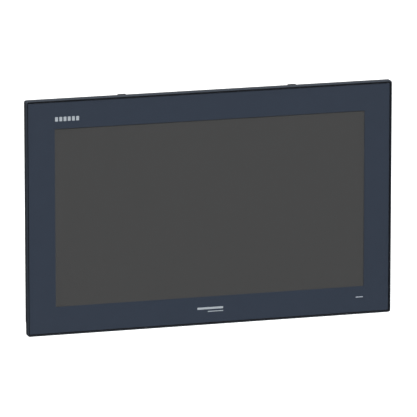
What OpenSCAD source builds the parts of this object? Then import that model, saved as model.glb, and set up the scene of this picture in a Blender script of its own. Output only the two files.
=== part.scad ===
// Flush-glass HMI touch panel for a wall or cabinet-door cut-out, with a 21.5-inch wide screen.
// X runs left to right seen from the front, Y runs from the front to the back, and Z runs up.
// The origin is the centre of the plane where the bezel meets the front of the mounting panel.

/* [Front] */
// Width of the bezel
bezel_w = 563; // [562:0.5:566]
// Height of the bezel
bezel_h = 355.5; // [354.5:0.5:358]
// How far the bezel stands in front of the mounting panel
bezel_depth = 10; // [9.5:0.1:11]
// Corner radius of the bezel
bezel_r = 4; // [3.5:0.5:5]
// Width of the rim round the glass
rim_w = 1.7; // [1.4:0.1:2]
// Width of the bevel on the rim's outer edge
rim_bevel = 1.2; // [0.6:0.1:1.3]
// Width of the black seal between the rim and the glass
seal_w = 1.5; // [1:0.1:1.8]
// Thickness of the cover glass
glass_t = 2.8; // [2:0.1:3]

/* [Screen] */
// Width of the clear window in the printed border
window_w = 477; // [476:0.5:479]
// Height of the clear window in the printed border
window_h = 268.5; // [268:0.5:271]
// How far the window's centre lies right of the bezel's centre
window_dx = 0.9; // [-1:0.1:1]
// How far the window's centre lies above the bezel's centre
window_dz = -0.9; // [-1:0.1:1]
// Width of the LCD module
lcd_w = 495.6; // [494:0.2:496]
// Height of the LCD module
lcd_h = 292.2; // [291:0.2:293]

/* [Housing] */
// Width of the housing behind the mounting panel
housing_w = 544; // [542:0.5:546]
// Height of the housing behind the mounting panel
housing_h = 338; // [336:0.5:339]
// Depth from the mounting plane to the back of the rear cover
housing_depth = 40; // [40:0.5:44]
// Corner radius of the housing
housing_r = 3; // [2.5:0.5:5]
// Thickness of the housing's sheet metal
wall = 1.5; // [1.4:0.1:1.6]
// Half the width of the connector bay
bay_half = 190; // [188:1:192]
// Height of the connector bay, from the housing's lower edge to its ceiling
bay_h = 42; // [40:1:43]

/* [Fixings] */
// Spacing of the arm-mount holes, both ways
vesa_pitch = 100; // [100:1:101]
// Radius of the arm-mount bores, which stand for M4 threads
vesa_bore_r = 2.15; // [2.1:0.05:2.3]
// Radius of the earth stud
stud_r = 2; // [1.9:0.1:2.1]
// How far each drop-stop hook stands from the centre line
hook_x = 131; // [128:1:134]
// Width of a drop-stop hook
hook_w = 12; // [10:1:12]

/* [Hidden] */
fine = 48;    // facets that a rendered circle shows
coarse = 24;  // facets that a small rendered circle shows
over = 1;     // how far a cutter runs past the face that it cuts

// Depths, from the front face backwards
front_y = -bezel_depth;
glass_y = front_y + 0.2;
seal_y = front_y + 0.6;
print_y = glass_y + glass_t;
print_t = 0.2;
tape_y = print_y + print_t;
ledge_y = tape_y + 0.5;
sensor_t = 0.6;
cushion_y = tape_y + sensor_t;
lcd_y = cushion_y + 0.6;
lcd_back_y = 2;
flange_t = wall;
carrier_y = 8;
carrier_t = 1.2;
board_y = 15;
board_t = 1.6;
parts_y = board_y + board_t;
cover_y = housing_depth - wall;
bay_floor_y = 12;

// Sizes across the front
pocket_w = bezel_w - 2 * rim_w;
pocket_h = bezel_h - 2 * rim_w;
glass_w = pocket_w - 2 * seal_w;
glass_h = pocket_h - 2 * seal_w;
opening_w = 504;
opening_h = 301;
gasket_w = 4;
gasket_out_w = housing_w + 14;
gasket_out_h = housing_h + 14;
gasket_groove = 1.5;
gasket_free = 1;   // how far the gasket stands out of its groove
flange_w = 14;
lip_w = 10;

// Places on the glass
legend_x = -218.7;
legend_z = 147.8;
maker_x = 0;
maker_z = -155;
status_x = 232.7;
status_z = -151.8;
status_w = 11.5;
status_h = 1.4;

// The connector bay and what is in it
bay_z = bay_h - housing_h / 2;         // ceiling of the bay, where the sockets face down
io_z = bay_z + wall;                   // the ceiling's upper face
reset_x = -176;
reset_y = 22;
card_x = -150;
video_x = -112;
serial_x = -72;
usb_x = [-38, -18];
lan_x = [8, 30];
power_x = 110;
switch_x = 150;
stud_x = 174;
stud_z = -148;
lan_w = 16;
lan_t = 13.5;
usb_w = 13.2;
usb_t = 15.6;
video_w = 18;
video_t = 7;
serial_y = 6;                          // from the boards' faces to the middle of the serial socket
serial_post_x = 12.5;
header_w = 20;
header_t = 12;
pole_pitch = 5.08;
pole_x = [for (i = [-1:1]) power_x + i * pole_pitch];
plug_w = 19.2;
plug_t = 15;
plug_screw_r = 2;
screw_z = bay_z - 11;

// Boards and the heat sink
main_x0 = -186;
main_x1 = 50;
main_z0 = io_z + 3;
main_z1 = 48;
power_x0 = 62;
power_x1 = 182;
power_z1 = -4;
cpu_x = -125;
cpu_z = -18;
cpu_t = 3.2;
touch_y = 12.4;
display_x = -20;
display_z = -97.5;
memory_x0 = -21;
memory_x1 = 47;
memory_z0 = -36.5;
memory_y = parts_y + 1.6;
cell_x = 25;
cell_z = 10;
cell_r = 10;
cell_y = parts_y + 0.8;
sink_w = 120;
sink_h = 136;
fin_pitch = 7.4;
fin_t = 1.8;

// Vents
vent_w = 3;
vent_l = 28;
vent_pitch = 7;
vent_rows = [24, 31];

// Fixings
screw_r = 1.45;
screw_hole_r = 1.7;
screw_tap_r = 1.5;
screw_head_r = 2.8;
screw_head_t = 1.9;
side_screw_z = [-100, 0, 100];
edge_screw_x = [-200, -70, 70, 200];
cover_screw_x = [-255, -85, 85, 255];
clamp_x = [-220, -75, 75, 220];
clamp_z = [-95, 95];
service_x = 132;
service_z = 87;
service_w = 124;
service_h = 78;
service_t = 1;
plate_x = -20;
plate_z = 98;
insert_r = 3.2;

// Drop-stop hooks, in the Y-Z plane
hook_pivot = [33, 162];
hook_catch_y = 8.5;
hook_top_z = housing_h / 2 + 7.6;
hook_boss_r = 3.4;
hook_pin_r = 1.5;
running = 0.06;   // radial clearance of a turning fit
spring_y = 19;
spring_r = 3;
spring_wire_r = 0.4;
spring_low_z = 149.4;
spring_high_z = 161.7;
hook_pocket_z = 162;
spring_turns = 5;

// Power rocker
switch_y = 24.5;
rocker_z = bay_z + 2.4;
rocker_tilt = 10;
rocker_pin_r = 1;

// Card door, in the X-Z plane
door_hinge_x = card_x - 17;
door_hinge_z = bay_z - 1.6;
door_pin_r = 1;
door_pin_y0 = bay_floor_y + 0.2;
door_pin_y1 = 26;

// Extrudes a shape drawn in X and Z from one depth to another
module slab(y0, y1) {
    translate([0, y1, 0]) rotate([90, 0, 0]) linear_extrude(height = y1 - y0) children();
}

// Extrudes a shape drawn in Y and Z along X
module bar_x(x0, x1) {
    translate([x0, 0, 0]) rotate([90, 0, 90]) linear_extrude(height = x1 - x0) children();
}

// Extrudes a shape drawn in X and Y along Z
module bar_z(z0, z1) {
    translate([0, 0, z0]) linear_extrude(height = z1 - z0) children();
}

module box(low, high) {
    translate(low) cube(high - low);
}

// A cylinder along Y
module rod_y(x, z, r, y0, y1, facets = coarse) {
    translate([x, y1, z]) rotate([90, 0, 0]) cylinder(h = y1 - y0, r = r, $fn = facets);
}

// A cylinder along Z
module rod_z(x, y, r, z0, z1, facets = coarse) {
    translate([x, y, z0]) cylinder(h = z1 - z0, r = r, $fn = facets);
}

// A cylinder along X
module rod_x(y, z, r, x0, x1, facets = coarse) {
    translate([x0, y, z]) rotate([0, 90, 0]) cylinder(h = x1 - x0, r = r, $fn = facets);
}

// A rectangle with true round corners
module rounded(w, h, r) {
    square([w - 2 * r, h], center = true);
    square([w, h - 2 * r], center = true);
    for (x = [-1, 1], z = [-1, 1])
        translate([x * (w / 2 - r), z * (h / 2 - r)]) circle(r = r, $fn = fine);
}

module ring(w, h, r, inset) {
    difference() {
        rounded(w, h, r);
        rounded(w - 2 * inset, h - 2 * inset, max(r - inset, 0.5));
    }
}

// A slot with round ends, lying along X
module slot(length, width) {
    square([length - width, width], center = true);
    for (x = [-1, 1]) translate([x * (length - width) / 2, 0]) circle(d = width, $fn = coarse);
}

// A plate with round corners whose front edge is bevelled all round
module bevelled_plate(w, h, r, bevel, y0, y1) {
    slab(y0 + bevel, y1) rounded(w, h, r);
    bar_x(r - w / 2, w / 2 - r)
        polygon([[y0, bevel - h / 2], [y0, h / 2 - bevel], [y0 + bevel, h / 2], [y0 + bevel, -h / 2]]);
    bar_z(r - h / 2, h / 2 - r)
        polygon([[bevel - w / 2, y0], [w / 2 - bevel, y0], [w / 2, y0 + bevel], [-w / 2, y0 + bevel]]);
    for (x = [-1, 1], z = [-1, 1])
        translate([x * (w / 2 - r), y0 + bevel, z * (h / 2 - r)])
            rotate([90, 0, 0]) cylinder(h = bevel, r1 = r, r2 = r - bevel, $fn = fine);
}

// A pan-head screw along Y, its head towards the back
module pan_screw(place, seat_y, length) {
    difference() {
        union() {
            rod_y(place[0], place[1], screw_r, seat_y - length, seat_y + 0.1);
            rod_y(place[0], place[1], screw_head_r, seat_y, seat_y + screw_head_t);
        }
        for (turn = [0, 90])
            translate([place[0], seat_y + screw_head_t, place[1]]) rotate([0, turn, 0])
                cube([screw_head_r * 1.1, screw_head_t, screw_head_r * 0.28], center = true);
    }
}

// Where the screws stand that join the housing to the bezel: X, Z and the face under the head
side_screws = [for (x = [-1, 1], z = side_screw_z) [x * (housing_w / 2 - 8.5), z, flange_t + 1.2]];
edge_screws = [for (x = edge_screw_x, z = [-1, 1]) [x, z * (housing_h / 2 - 7), flange_t]];
housing_screw_places = concat(side_screws, edge_screws);

// The rear cover's screws, in its own plane
cover_screw_places = concat(
    [for (x = cover_screw_x) [x, housing_h / 2 - 5.5]],
    [for (x = [-1, 1], z = [-60, 60]) [x * (housing_w / 2 - 5.5), z]],
    [for (x = [-230, 230]) [x, 5.5 - housing_h / 2]],
    [for (x = [-120, 0, 120]) [x, io_z + 5]]
);
service_screw_places = [
    for (x = [-1, 1], z = [-1, 1])
        [service_x + x * (service_w / 2 - 4), service_z + z * (service_h / 2 - 4)]
];
vesa_places = [for (x = [-1, 1], z = [-1, 1]) [x * vesa_pitch / 2, z * vesa_pitch / 2]];
main_fixings = [
    for (x = [main_x0 + 6, (main_x0 + main_x1) / 2, main_x1 - 6], z = [main_z0 + 24, main_z1 - 6]) [x, z]
];
power_fixings = [for (x = [power_x0 + 6, power_x1 - 6], z = [main_z0 + 24, power_z1 - 6]) [x, z]];

// The plain printed shapes in the border: a row of blocks, and a bar over a thin line
module legend_shapes() {
    block_pitch = 6.4;
    for (i = [-2.5:2.5]) translate([legend_x + i * block_pitch, legend_z]) rounded(4.4, 6.6, 0.8);
    translate([maker_x, maker_z + 2]) rounded(40, 3.2, 1);
    translate([maker_x + 8, maker_z - 3]) rounded(24, 1.2, 0.5);
}

// Front assembly

module front_bezel() {
    color("#3a3f48") difference() {
        bevelled_plate(bezel_w, bezel_h, bezel_r, rim_bevel, front_y, 0);
        slab(front_y - over, ledge_y) rounded(pocket_w, pocket_h, bezel_r - rim_w);
        slab(ledge_y - over, over) rounded(opening_w, opening_h, 3);
        slab(-gasket_groove, over) ring(gasket_out_w, gasket_out_h, 6, gasket_w);
        for (p = housing_screw_places) rod_y(p[0], p[1], screw_tap_r, -5, over);
        slab(ledge_y - over, over)
            translate([status_x, status_z]) square([status_w + 3, 4], center = true);
    }
}

module cover_glass() {
    color("#5a6470", 0.35) bevelled_plate(glass_w, glass_h, 1.5, 0.3, glass_y, print_y);
}

module glass_seal() {
    color("#15171a") slab(seal_y, ledge_y) ring(pocket_w, pocket_h, bezel_r - rim_w, seal_w);
}

module border_print() {
    color("#373e4a") slab(print_y, tape_y) difference() {
        rounded(glass_w, glass_h, 1.5);
        translate([window_dx, window_dz]) rounded(window_w, window_h, 0.6);
        legend_shapes();
        translate([status_x, status_z]) rounded(status_w, status_h, 0.5);
    }
}

module legend_marks() {
    color("#d8dbdf") slab(print_y, tape_y) legend_shapes();
}

module glass_tape() {
    color("#1b1b1c") slab(tape_y, ledge_y) difference() {
        rounded(glass_w - 2, glass_h - 2, 1.5);
        rounded(opening_w + 1, opening_h + 1, 3);
        translate([status_x, status_z]) square([status_w + 3, 4], center = true);
    }
}

module touch_sensor() {
    color("#8b949c", 0.3) slab(tape_y, cushion_y) rounded(opening_w - 4, opening_h - 4, 2);
}

module status_lens() {
    color("#c9ced6") slab(print_y, -0.6) translate([status_x, status_z])
        rounded(status_w, status_h, 0.5);
}

// A small board with two lamps behind the status light's lens
module status_board() {
    half_w = 11;
    lamp_x = 3;
    lamp = [3, 0.5, 1.6];
    color("#1f5a3a")
        box([status_x - half_w, 0, status_z - 2.6], [status_x + half_w, 1, status_z + 4]);
    color("#f2f2ea") for (x = [-lamp_x, lamp_x])
        translate([status_x + x, -lamp[1] / 2, status_z]) cube(lamp, center = true);
}

module lcd_cushion() {
    color("#101112") slab(cushion_y, lcd_y) ring(lcd_w - 2, lcd_h - 2, 2, 6.4);
}

module lcd_front_frame() {
    color("#9a9fa3") {
        slab(lcd_y, lcd_y + 0.8) ring(lcd_w, lcd_h, 2, 7.6);
        slab(lcd_y + 0.4, 1.2) ring(lcd_w, lcd_h, 2, 0.8);
    }
}

module lcd_cell() {
    color("#474747") slab(lcd_y + 0.8, lcd_y + 2.6) rounded(lcd_w - 4, lcd_h - 7, 0.8);
}

module optical_sheets() {
    sheets = 3;
    sheet_t = 0.4;
    for (i = [0 : sheets - 1])
        color("#e8eaec")
            slab(lcd_y + 2.6 + i * sheet_t, lcd_y + 2.6 + (i + 1) * sheet_t - 0.02)
                rounded(lcd_w - 6, lcd_h - 10, 0.8);
}

module light_guide() {
    color("#dfe6ea", 0.5)
        box([9 - lcd_w / 2, lcd_y + 3.9, 13 - lcd_h / 2], [lcd_w / 2 - 9, 1.1, lcd_h / 2 - 7]);
}

module led_bar() {
    strip_z = 8 - lcd_h / 2;
    leds = 40;
    led_pitch = 12;
    color("#f4f4f0") {
        box([9 - lcd_w / 2, lcd_y + 3.9, strip_z], [lcd_w / 2 - 9, 1.1, strip_z + 1.2]);
        for (i = [0 : leds - 1])
            translate([(i - (leds - 1) / 2) * led_pitch, -0.3, strip_z + 1.9])
                cube([6, 2, 1.8], center = true);
    }
}

module lcd_tray() {
    color("#b4b7b8") {
        slab(1.2, lcd_back_y) rounded(lcd_w, lcd_h, 2);
        slab(lcd_back_y - 0.2, 4) translate([0, -118]) rounded(250, 34, 2);
    }
}

module lcd_rails() {
    rail_z = 130;
    foot_x = housing_w / 2 - 14.5;
    step_x = opening_w / 2 + 0.6;
    profile = [
        [step_x, 0], [foot_x, 0], [foot_x, 1.2], [step_x + 1.2, 1.2], [step_x + 1.2, lcd_back_y + 1.2],
        [step_x - 18, lcd_back_y + 1.2], [step_x - 18, lcd_back_y], [step_x, lcd_back_y]
    ];
    color("#a8acae") for (side = [0, 1]) mirror([side, 0, 0]) bar_z(-rail_z, rail_z) polygon(profile);
}

module panel_gasket() {
    color("#202224")
        slab(-gasket_groove, gasket_free) ring(gasket_out_w, gasket_out_h, 6, gasket_w);
}

// Housing

// The hollow of the connector bay, open below and behind
module bay_hollow() {
    box([-bay_half, bay_floor_y, -housing_h / 2 - over], [bay_half, housing_depth + over, bay_z]);
}

// Slots for the mounting clamps in all four walls, and vents in the top and bottom walls
module wall_slots() {
    clamp_y = 15.6;
    clamp_slot = [14, 3.2];
    vent_row_l = 14;
    cut = 4 * wall;
    for (x = clamp_x, side = [-1, 1])
        translate([x, clamp_y, side * housing_h / 2])
            cube([clamp_slot[0], clamp_slot[1], cut], center = true);
    for (z = clamp_z, side = [-1, 1])
        translate([side * housing_w / 2, clamp_y, z])
            cube([cut, clamp_slot[1], clamp_slot[0]], center = true);
    for (x = [-100:20:100], y = vent_rows)
        translate([x, y, housing_h / 2]) bar_z(-cut / 2, cut / 2) slot(vent_row_l, vent_w);
    for (side = [-1, 1], x = [207:22:251], y = vent_rows)
        translate([side * x, y, -housing_h / 2]) bar_z(-cut / 2, cut / 2) slot(vent_row_l, vent_w);
}

module hook_windows() {
    gap = 1;
    cut = 2 * wall;
    for (x = [-1, 1])
        box([x * hook_x - hook_w / 2 - gap, hook_catch_y - 3.5, housing_h / 2 - cut],
            [x * hook_x + hook_w / 2 + gap, 26, housing_h / 2 + cut]);
}

// A rectangle in X and Y, centred on X, with its depths measured from the boards' faces
module port_outline(x, w, y0, y1) {
    translate([x - w / 2, parts_y + y0]) square([w, y1 - y0]);
}

// The holes through the bay's ceiling, in X and Y, each a little larger than its socket
module socket_holes() {
    for (x = lan_x) port_outline(x, lan_w + 0.4, -0.2, lan_t + 0.2);
    for (x = usb_x) port_outline(x, usb_w + 0.4, -0.2, usb_t + 0.2);
    port_outline(video_x, video_w + 0.4, -0.2, video_t + 0.2);
    port_outline(serial_x, 20, 0.6, 11.2);
    port_outline(power_x, header_w + 0.4, -0.2, header_t + 0.2);
    port_outline(card_x, 27, -2.2, 7.2);
    translate([switch_x - 10.1, switch_y - 6.6]) square([20.2, 13.2]);
    translate([reset_x, reset_y]) circle(r = 2.3, $fn = coarse);
    for (x = [-1, 1])
        translate([serial_x + x * serial_post_x, parts_y + serial_y]) circle(r = 1.6, $fn = coarse);
}

// The two ears that hold the card door's pin, below the bay's ceiling
module door_ears() {
    ear = 1.8;
    ear_t = 1.4;
    for (y = [door_pin_y0, door_pin_y1 - ear_t]) difference() {
        box([door_hinge_x - ear, y, door_hinge_z - ear], [door_hinge_x + ear, y + ear_t, bay_z + 0.5]);
        rod_y(door_hinge_x, door_hinge_z, door_pin_r, y - over, y + ear_t + over);
    }
}

// The sheet-steel box: four walls with a front flange and a rear lip, and the connector bay's walls
module rear_housing() {
    bay_out = bay_half + wall;
    bay_front_y = bay_floor_y - wall;
    low_z = -housing_h / 2;
    color("#2c3037") {
        difference() {
            union() {
                difference() {
                    union() {
                        slab(0, cover_y) ring(housing_w, housing_h, housing_r, wall);
                        slab(0, flange_t) ring(housing_w, housing_h, housing_r, flange_w);
                        slab(cover_y - wall, cover_y) ring(housing_w, housing_h, housing_r, lip_w);
                    }
                    bay_hollow();
                }
                box([-bay_out, bay_front_y, low_z], [bay_out, bay_floor_y, io_z]);
                box([-bay_out, bay_front_y, bay_z], [bay_out, cover_y, io_z]);
                box([-bay_half, cover_y - wall, bay_z], [bay_half, cover_y, io_z + lip_w]);
                for (side = [0, 1]) mirror([side, 0, 0])
                    box([bay_half, bay_front_y, low_z], [bay_out, cover_y, io_z]);
            }
            wall_slots();
            hook_windows();
            bar_z(bay_z - over, io_z + over) socket_holes();
            for (p = housing_screw_places) rod_y(p[0], p[1], screw_hole_r, -over, flange_t + over);
            for (p = cover_screw_places)
                rod_y(p[0], p[1], screw_tap_r, cover_y - wall - over, cover_y + over);
            rod_y(stud_x, stud_z, stud_r, bay_front_y - over, bay_floor_y + over);
        }
        door_ears();
    }
}

// A row of upright vents from one place to another along X
module vent_row(x0, x1, z) {
    for (x = [x0:vent_pitch:x1]) translate([x, z]) rotate(90) slot(vent_l, vent_w);
}

module rear_cover() {
    sink_gap = 2.5;
    color("#2c3037") slab(cover_y, housing_depth) difference() {
        rounded(housing_w, housing_h, housing_r);
        translate([-bay_half, -housing_h / 2 - over]) square([2 * bay_half, bay_h + over]);
        translate([cpu_x, cpu_z]) rounded(sink_w + 2 * sink_gap, sink_h + 2 * sink_gap, 3);
        translate([service_x, service_z]) rounded(service_w - 16, service_h - 16, 3);
        for (p = cover_screw_places) translate(p) circle(r = screw_hole_r, $fn = coarse);
        for (p = service_screw_places) translate(p) circle(r = screw_tap_r, $fn = coarse);
        for (p = vesa_places) translate(p) circle(r = insert_r, $fn = coarse);
        vent_row(-196, 56, 141);
        vent_row(70, 182, -98);
        vent_row(222, 250, -98);
    }
}

// The inner plate, whose folded side legs stand on the housing's flange
module carrier_plate() {
    half_w = housing_w / 2 - 13.5;
    half_h = 148;
    leg_h = 120;
    foot = 10;
    sheet_t = 1.2;
    color("#c3c6c7") difference() {
        union() {
            slab(carrier_y, carrier_y + carrier_t) rounded(2 * half_w, 2 * half_h, 3);
            for (side = [0, 1]) mirror([side, 0, 0]) {
                box([half_w - sheet_t, flange_t, -leg_h], [half_w, carrier_y + 0.4, leg_h]);
                box([half_w - sheet_t, flange_t, -leg_h], [half_w + foot, flange_t + sheet_t, leg_h]);
            }
        }
        for (p = side_screws) rod_y(p[0], p[1], screw_hole_r, 0, 4);
        slab(carrier_y - over, carrier_y + 3) {
            translate([0, half_h]) square([40, 8], center = true);
            translate([display_x, display_z]) square([34, 8], center = true);
            for (x = [-216, 216], z = [-90:30:90]) translate([x, z]) slot(36, 12);
        }
    }
}

module vesa_inserts() {
    collar_r = 5;
    collar_t = 1.2;
    inner_y = housing_depth - 9;
    color("#c9b37a") for (p = vesa_places) difference() {
        union() {
            rod_y(p[0], p[1], insert_r, inner_y, housing_depth, fine);
            rod_y(p[0], p[1], collar_r, cover_y - collar_t, cover_y, fine);
        }
        rod_y(p[0], p[1], vesa_bore_r, inner_y - over, housing_depth + over, fine);
    }
}

module service_cover() {
    color("#2c3037") slab(housing_depth, housing_depth + service_t) difference() {
        translate([service_x, service_z]) rounded(service_w, service_h, 4);
        for (p = service_screw_places) translate(p) circle(r = screw_hole_r, $fn = coarse);
        for (i = [-2:2]) translate([service_x + i * 9, service_z]) rotate(90) slot(36, vent_w);
    }
}

module cover_screws() {
    color("#8d9093") {
        for (p = cover_screw_places) pan_screw(p, housing_depth, 4);
        for (p = service_screw_places) pan_screw(p, housing_depth + service_t, 3.5);
    }
}

module housing_screws() {
    grip = 4.6;
    color("#8d9093") for (p = housing_screw_places) pan_screw(p, p[2], p[2] + grip);
}

module ground_stud() {
    nut_y = bay_floor_y + 1;
    nut_t = 3.2;
    color("#c4a45a") {
        rod_y(stud_x, stud_z, stud_r, bay_floor_y - wall, bay_floor_y + 14, fine);
        difference() {
            rod_y(stud_x, stud_z, 4.5, bay_floor_y, nut_y);
            rod_y(stud_x, stud_z, stud_r, bay_floor_y - over, nut_y + over, fine);
        }
        difference() {
            rod_y(stud_x, stud_z, 4.04, nut_y, nut_y + nut_t, 6);
            rod_y(stud_x, stud_z, stud_r, nut_y - over, nut_y + nut_t + over, fine);
        }
    }
}

module rating_plate() {
    color("#cfd2d4") slab(housing_depth, housing_depth + 0.4)
        translate([plate_x, plate_z]) rounded(80, 44, 2);
}

// Boards

module pcb(x0, z0, x1, z1, y0, t, holes) {
    slab(y0, y0 + t) difference() {
        translate([(x0 + x1) / 2, (z0 + z1) / 2]) rounded(x1 - x0, z1 - z0, 2);
        for (p = holes) translate(p) circle(r = 1.6, $fn = coarse);
    }
}

module mainboard() {
    color("#1d5c3c") pcb(main_x0, main_z0, main_x1, main_z1, board_y, board_t, main_fixings);
}

// An upright round capacitor on a board
module capacitor(x, z, r, h) {
    rod_y(x, z, r, parts_y, parts_y + h);
}

module chip(x, z, w, h, t) {
    box([x - w / 2, parts_y, z - h / 2], [x + w / 2, parts_y + t, z + h / 2]);
}

// A ring-shaped choke that lies flat on a board
module choke(x, z) {
    difference() {
        rod_y(x, z, 9.5, parts_y, parts_y + 9);
        rod_y(x, z, 4, parts_y - over, parts_y + 10);
    }
}

// The memory module's edge socket, slotted along its upper side
module memory_socket() {
    difference() {
        box([memory_x0 - 1, parts_y, memory_z0 - 1.5], [memory_x1 + 1, parts_y + 4.4, memory_z0 + 3.5]);
        box([memory_x0, memory_y, memory_z0], [memory_x1, memory_y + 1.1, memory_z0 + 4.5]);
    }
}

module coin_cell_holder() {
    difference() {
        rod_y(cell_x, cell_z, cell_r + 2, parts_y, parts_y + 3);
        rod_y(cell_x, cell_z, cell_r + 0.1, cell_y, parts_y + 4);
    }
}

// Every component that stands on the two large boards
module board_parts() {
    color("#26282b") {
        chip(-25, -75, 24, 24, 1.8);
        chip(20, -75, 14, 14, 1.4);
        chip(-50, -48, 12, 9, 1.2);
        chip(20, -48, 10, 10, 1.4);
        chip(-72, -88, 18, 12, 1.6);
        for (z = [-4:15:41]) chip(-45, z, 10, 10, 4.5);
        for (x = [-125:12:-89]) chip(x, -98.5, 8, 5, 1.2);
        chip(reset_x, -112.9, 6, 6, 3.5);
        chip(reset_x, -118.9, 12, 2, 8);
        chip(140, -84, 14, 14, 5);
        chip(164, -86, 12, 16, 2);
        coin_cell_holder();
    }
    color("#d9dadb") {
        for (x = [-20:11:35]) capacitor(x, 41, 4, 9);
        for (x = [-56, -46]) capacitor(x, -64, 3.2, 7);
    }
    color("#e9e6da") {
        memory_socket();
        box([display_x - 14, board_y - 2.1, display_z - 3.5], [display_x + 14, board_y, display_z + 3.5]);
        chip(-26, 14, 16, 5, 6);
        box([42, parts_y, -66], [70, parts_y + 6, -54]);
    }
    color("#a5642c") for (x = [80, 104]) choke(x, -34);
    color("#3c5f8f") for (x = [128:14:170]) capacitor(x, -30, 5, 12);
    color("#9fa3a6") for (z = [-58, -64]) chip(118, z, 70, 2, 10);
    color("#d8d4c4") chip(76, -86, 10, 22, 7);
}

module board_fixings() {
    color("#b7b9ba") {
        for (p = concat(main_fixings, power_fixings)) {
            rod_y(p[0], p[1], 3.2, carrier_y + carrier_t, board_y, 6);
            pan_screw(p, parts_y, board_t);
        }
    }
}

module processor() {
    half = 18;
    lid_half = 12;
    base_t = 1.6;
    color("#2f6b4c")
        box([cpu_x - half, parts_y, cpu_z - half], [cpu_x + half, parts_y + base_t, cpu_z + half]);
    color("#c8cacc") box([cpu_x - lid_half, parts_y + base_t, cpu_z - lid_half],
        [cpu_x + lid_half, parts_y + cpu_t, cpu_z + lid_half]);
}

// A finned heat sink with two cross channels for its screws, on four posts
module heat_sink() {
    base_y = parts_y + cpu_t;
    fin_y = base_y + 4.4;
    fin_top_y = housing_depth - 0.6;
    fins = floor(sink_w / fin_pitch);
    channel_z = 44;
    post_x = sink_w / 2 - 12;
    color("#aeb2b5") translate([cpu_x, 0, cpu_z]) {
        difference() {
            union() {
                box([-sink_w / 2, base_y, -sink_h / 2], [sink_w / 2, fin_y, sink_h / 2]);
                for (i = [0 : fins - 1])
                    translate([(i - (fins - 1) / 2) * fin_pitch - fin_t / 2, fin_y - 0.2, -sink_h / 2])
                        cube([fin_t, fin_top_y - fin_y, sink_h]);
            }
            for (z = [-channel_z, channel_z])
                box([-sink_w / 2 - over, fin_y, z - 2], [sink_w / 2 + over, housing_depth, z + 2]);
        }
        for (x = [-post_x, post_x], z = [-channel_z, channel_z]) rod_y(x, z, 3, parts_y, base_y + 0.1);
    }
}

module memory_module() {
    color("#1f6a45") box([memory_x0, memory_y, memory_z0], [memory_x1, memory_y + 1.1, memory_z0 + 31.5]);
    color("#26282b") for (i = [0:3]) {
        x = memory_x0 + 9 + i * 16.7;
        box([x - 6, memory_y + 1.1, memory_z0 + 10.5], [x + 6, memory_y + 2.2, memory_z0 + 22.5]);
    }
}

module coin_cell() {
    color("#c6c8c9") rod_y(cell_x, cell_z, cell_r, cell_y, cell_y + 3.4, fine);
}

module solid_state_drive() {
    drive_y = carrier_y + carrier_t;
    color("#303338") {
        slab(drive_y, drive_y + 7) translate([service_x, service_z]) rounded(100, 69.8, 2);
        slab(drive_y + 6.9, drive_y + 7.3) translate([service_x, service_z]) rounded(88, 56, 2);
    }
}

module power_board() {
    color("#1d5c3c") pcb(power_x0, main_z0, power_x1, power_z1, board_y, board_t, power_fixings);
}

// The touch sensor's small board, on two posts behind the carrier plate
module touch_controller() {
    half_w = 35;
    low_z = 118;
    high_z = 142;
    color("#1d5c3c") box([-half_w, touch_y - 1.2, low_z], [half_w, touch_y, high_z]);
    color("#26282b") box([-22, touch_y, 124], [-10, touch_y + 1.2, 136]);
    color("#26282b") box([8, touch_y, 122], [20, touch_y + 1, 130]);
    color("#e9e6da") box([-16, touch_y, high_z - 4.5], [16, touch_y + 1.8, high_z - 0.5]);
    for (x = [-30, 30]) color("#b7b9ba") rod_y(x, 130, 2.4, carrier_y + carrier_t, touch_y - 1.2);
}

// The flat cable from the touch sensor, over the carrier plate's edge and down to its board
module sensor_flex() {
    run_z = 147;
    film_t = 0.3;
    end_y = touch_y + 2.5;
    end_z = 138.5;
    color("#b5803a") bar_x(-14, 14) polygon([
        [cushion_y, run_z], [end_y - film_t, run_z], [end_y - film_t, end_z], [end_y, end_z],
        [end_y, run_z + film_t], [cushion_y, run_z + film_t]
    ]);
}

// The flat cable from the display's driver board, through the carrier plate to the main board
module display_cable() {
    film_t = 0.5;
    start_y = 4;
    start_z = -103;
    end_y = board_y - 2.1;
    color("#d9d9d2") bar_x(display_x - 12, display_x + 12) polygon([
        [start_y, start_z], [start_y + film_t, start_z], [start_y + film_t, display_z],
        [end_y, display_z], [end_y, display_z + film_t], [start_y, display_z + film_t]
    ]);
}

// Sockets in the bay

// A box centred on X whose depths are measured from the boards' faces
module port_box(x, w, y0, y1, z0, z1) {
    box([x - w / 2, parts_y + y0, z0], [x + w / 2, parts_y + y1, z1]);
}

// Two network sockets, each with a latch slot on one side and two status lights on the other
module ethernet_jacks() {
    low_z = bay_z - 0.8;
    contact_pitch = 1.14;
    light_x = 6.3;
    color("#c9cbcc") for (x = lan_x) difference() {
        port_box(x, lan_w, 0, lan_t, low_z, low_z + 21);
        port_box(x, 11.8, 2.6, 9.6, low_z - over, low_z + 13);
        port_box(x, 6.2, 1, 3, low_z - over, low_z + 11);
        for (side = [-1, 1]) port_box(x + side * light_x, 2.6, 10.8, 12.4, low_z - over, low_z + 2);
    }
    color("#caa24a") for (x = lan_x, i = [-3.5:3.5])
        port_box(x + i * contact_pitch, 0.5, 9.2, 9.6, low_z + 4, low_z + 12);
}

// Two stacked pairs of USB sockets, each with its tongue
module usb_ports() {
    low_z = bay_z - 0.8;
    mouth_w = 12.2;
    mouth_t = 5.2;
    color("#cfd1d2") for (x = usb_x) {
        difference() {
            port_box(x, usb_w, 0, usb_t, low_z, low_z + 17);
            for (y = [1.3, 9]) port_box(x, mouth_w, y, y + mouth_t, low_z - over, low_z + 11);
        }
        for (y = [1.3, 9]) port_box(x, 10.8, y + 3, y + 4.8, low_z + 1, low_z + 11.1);
    }
}

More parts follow.
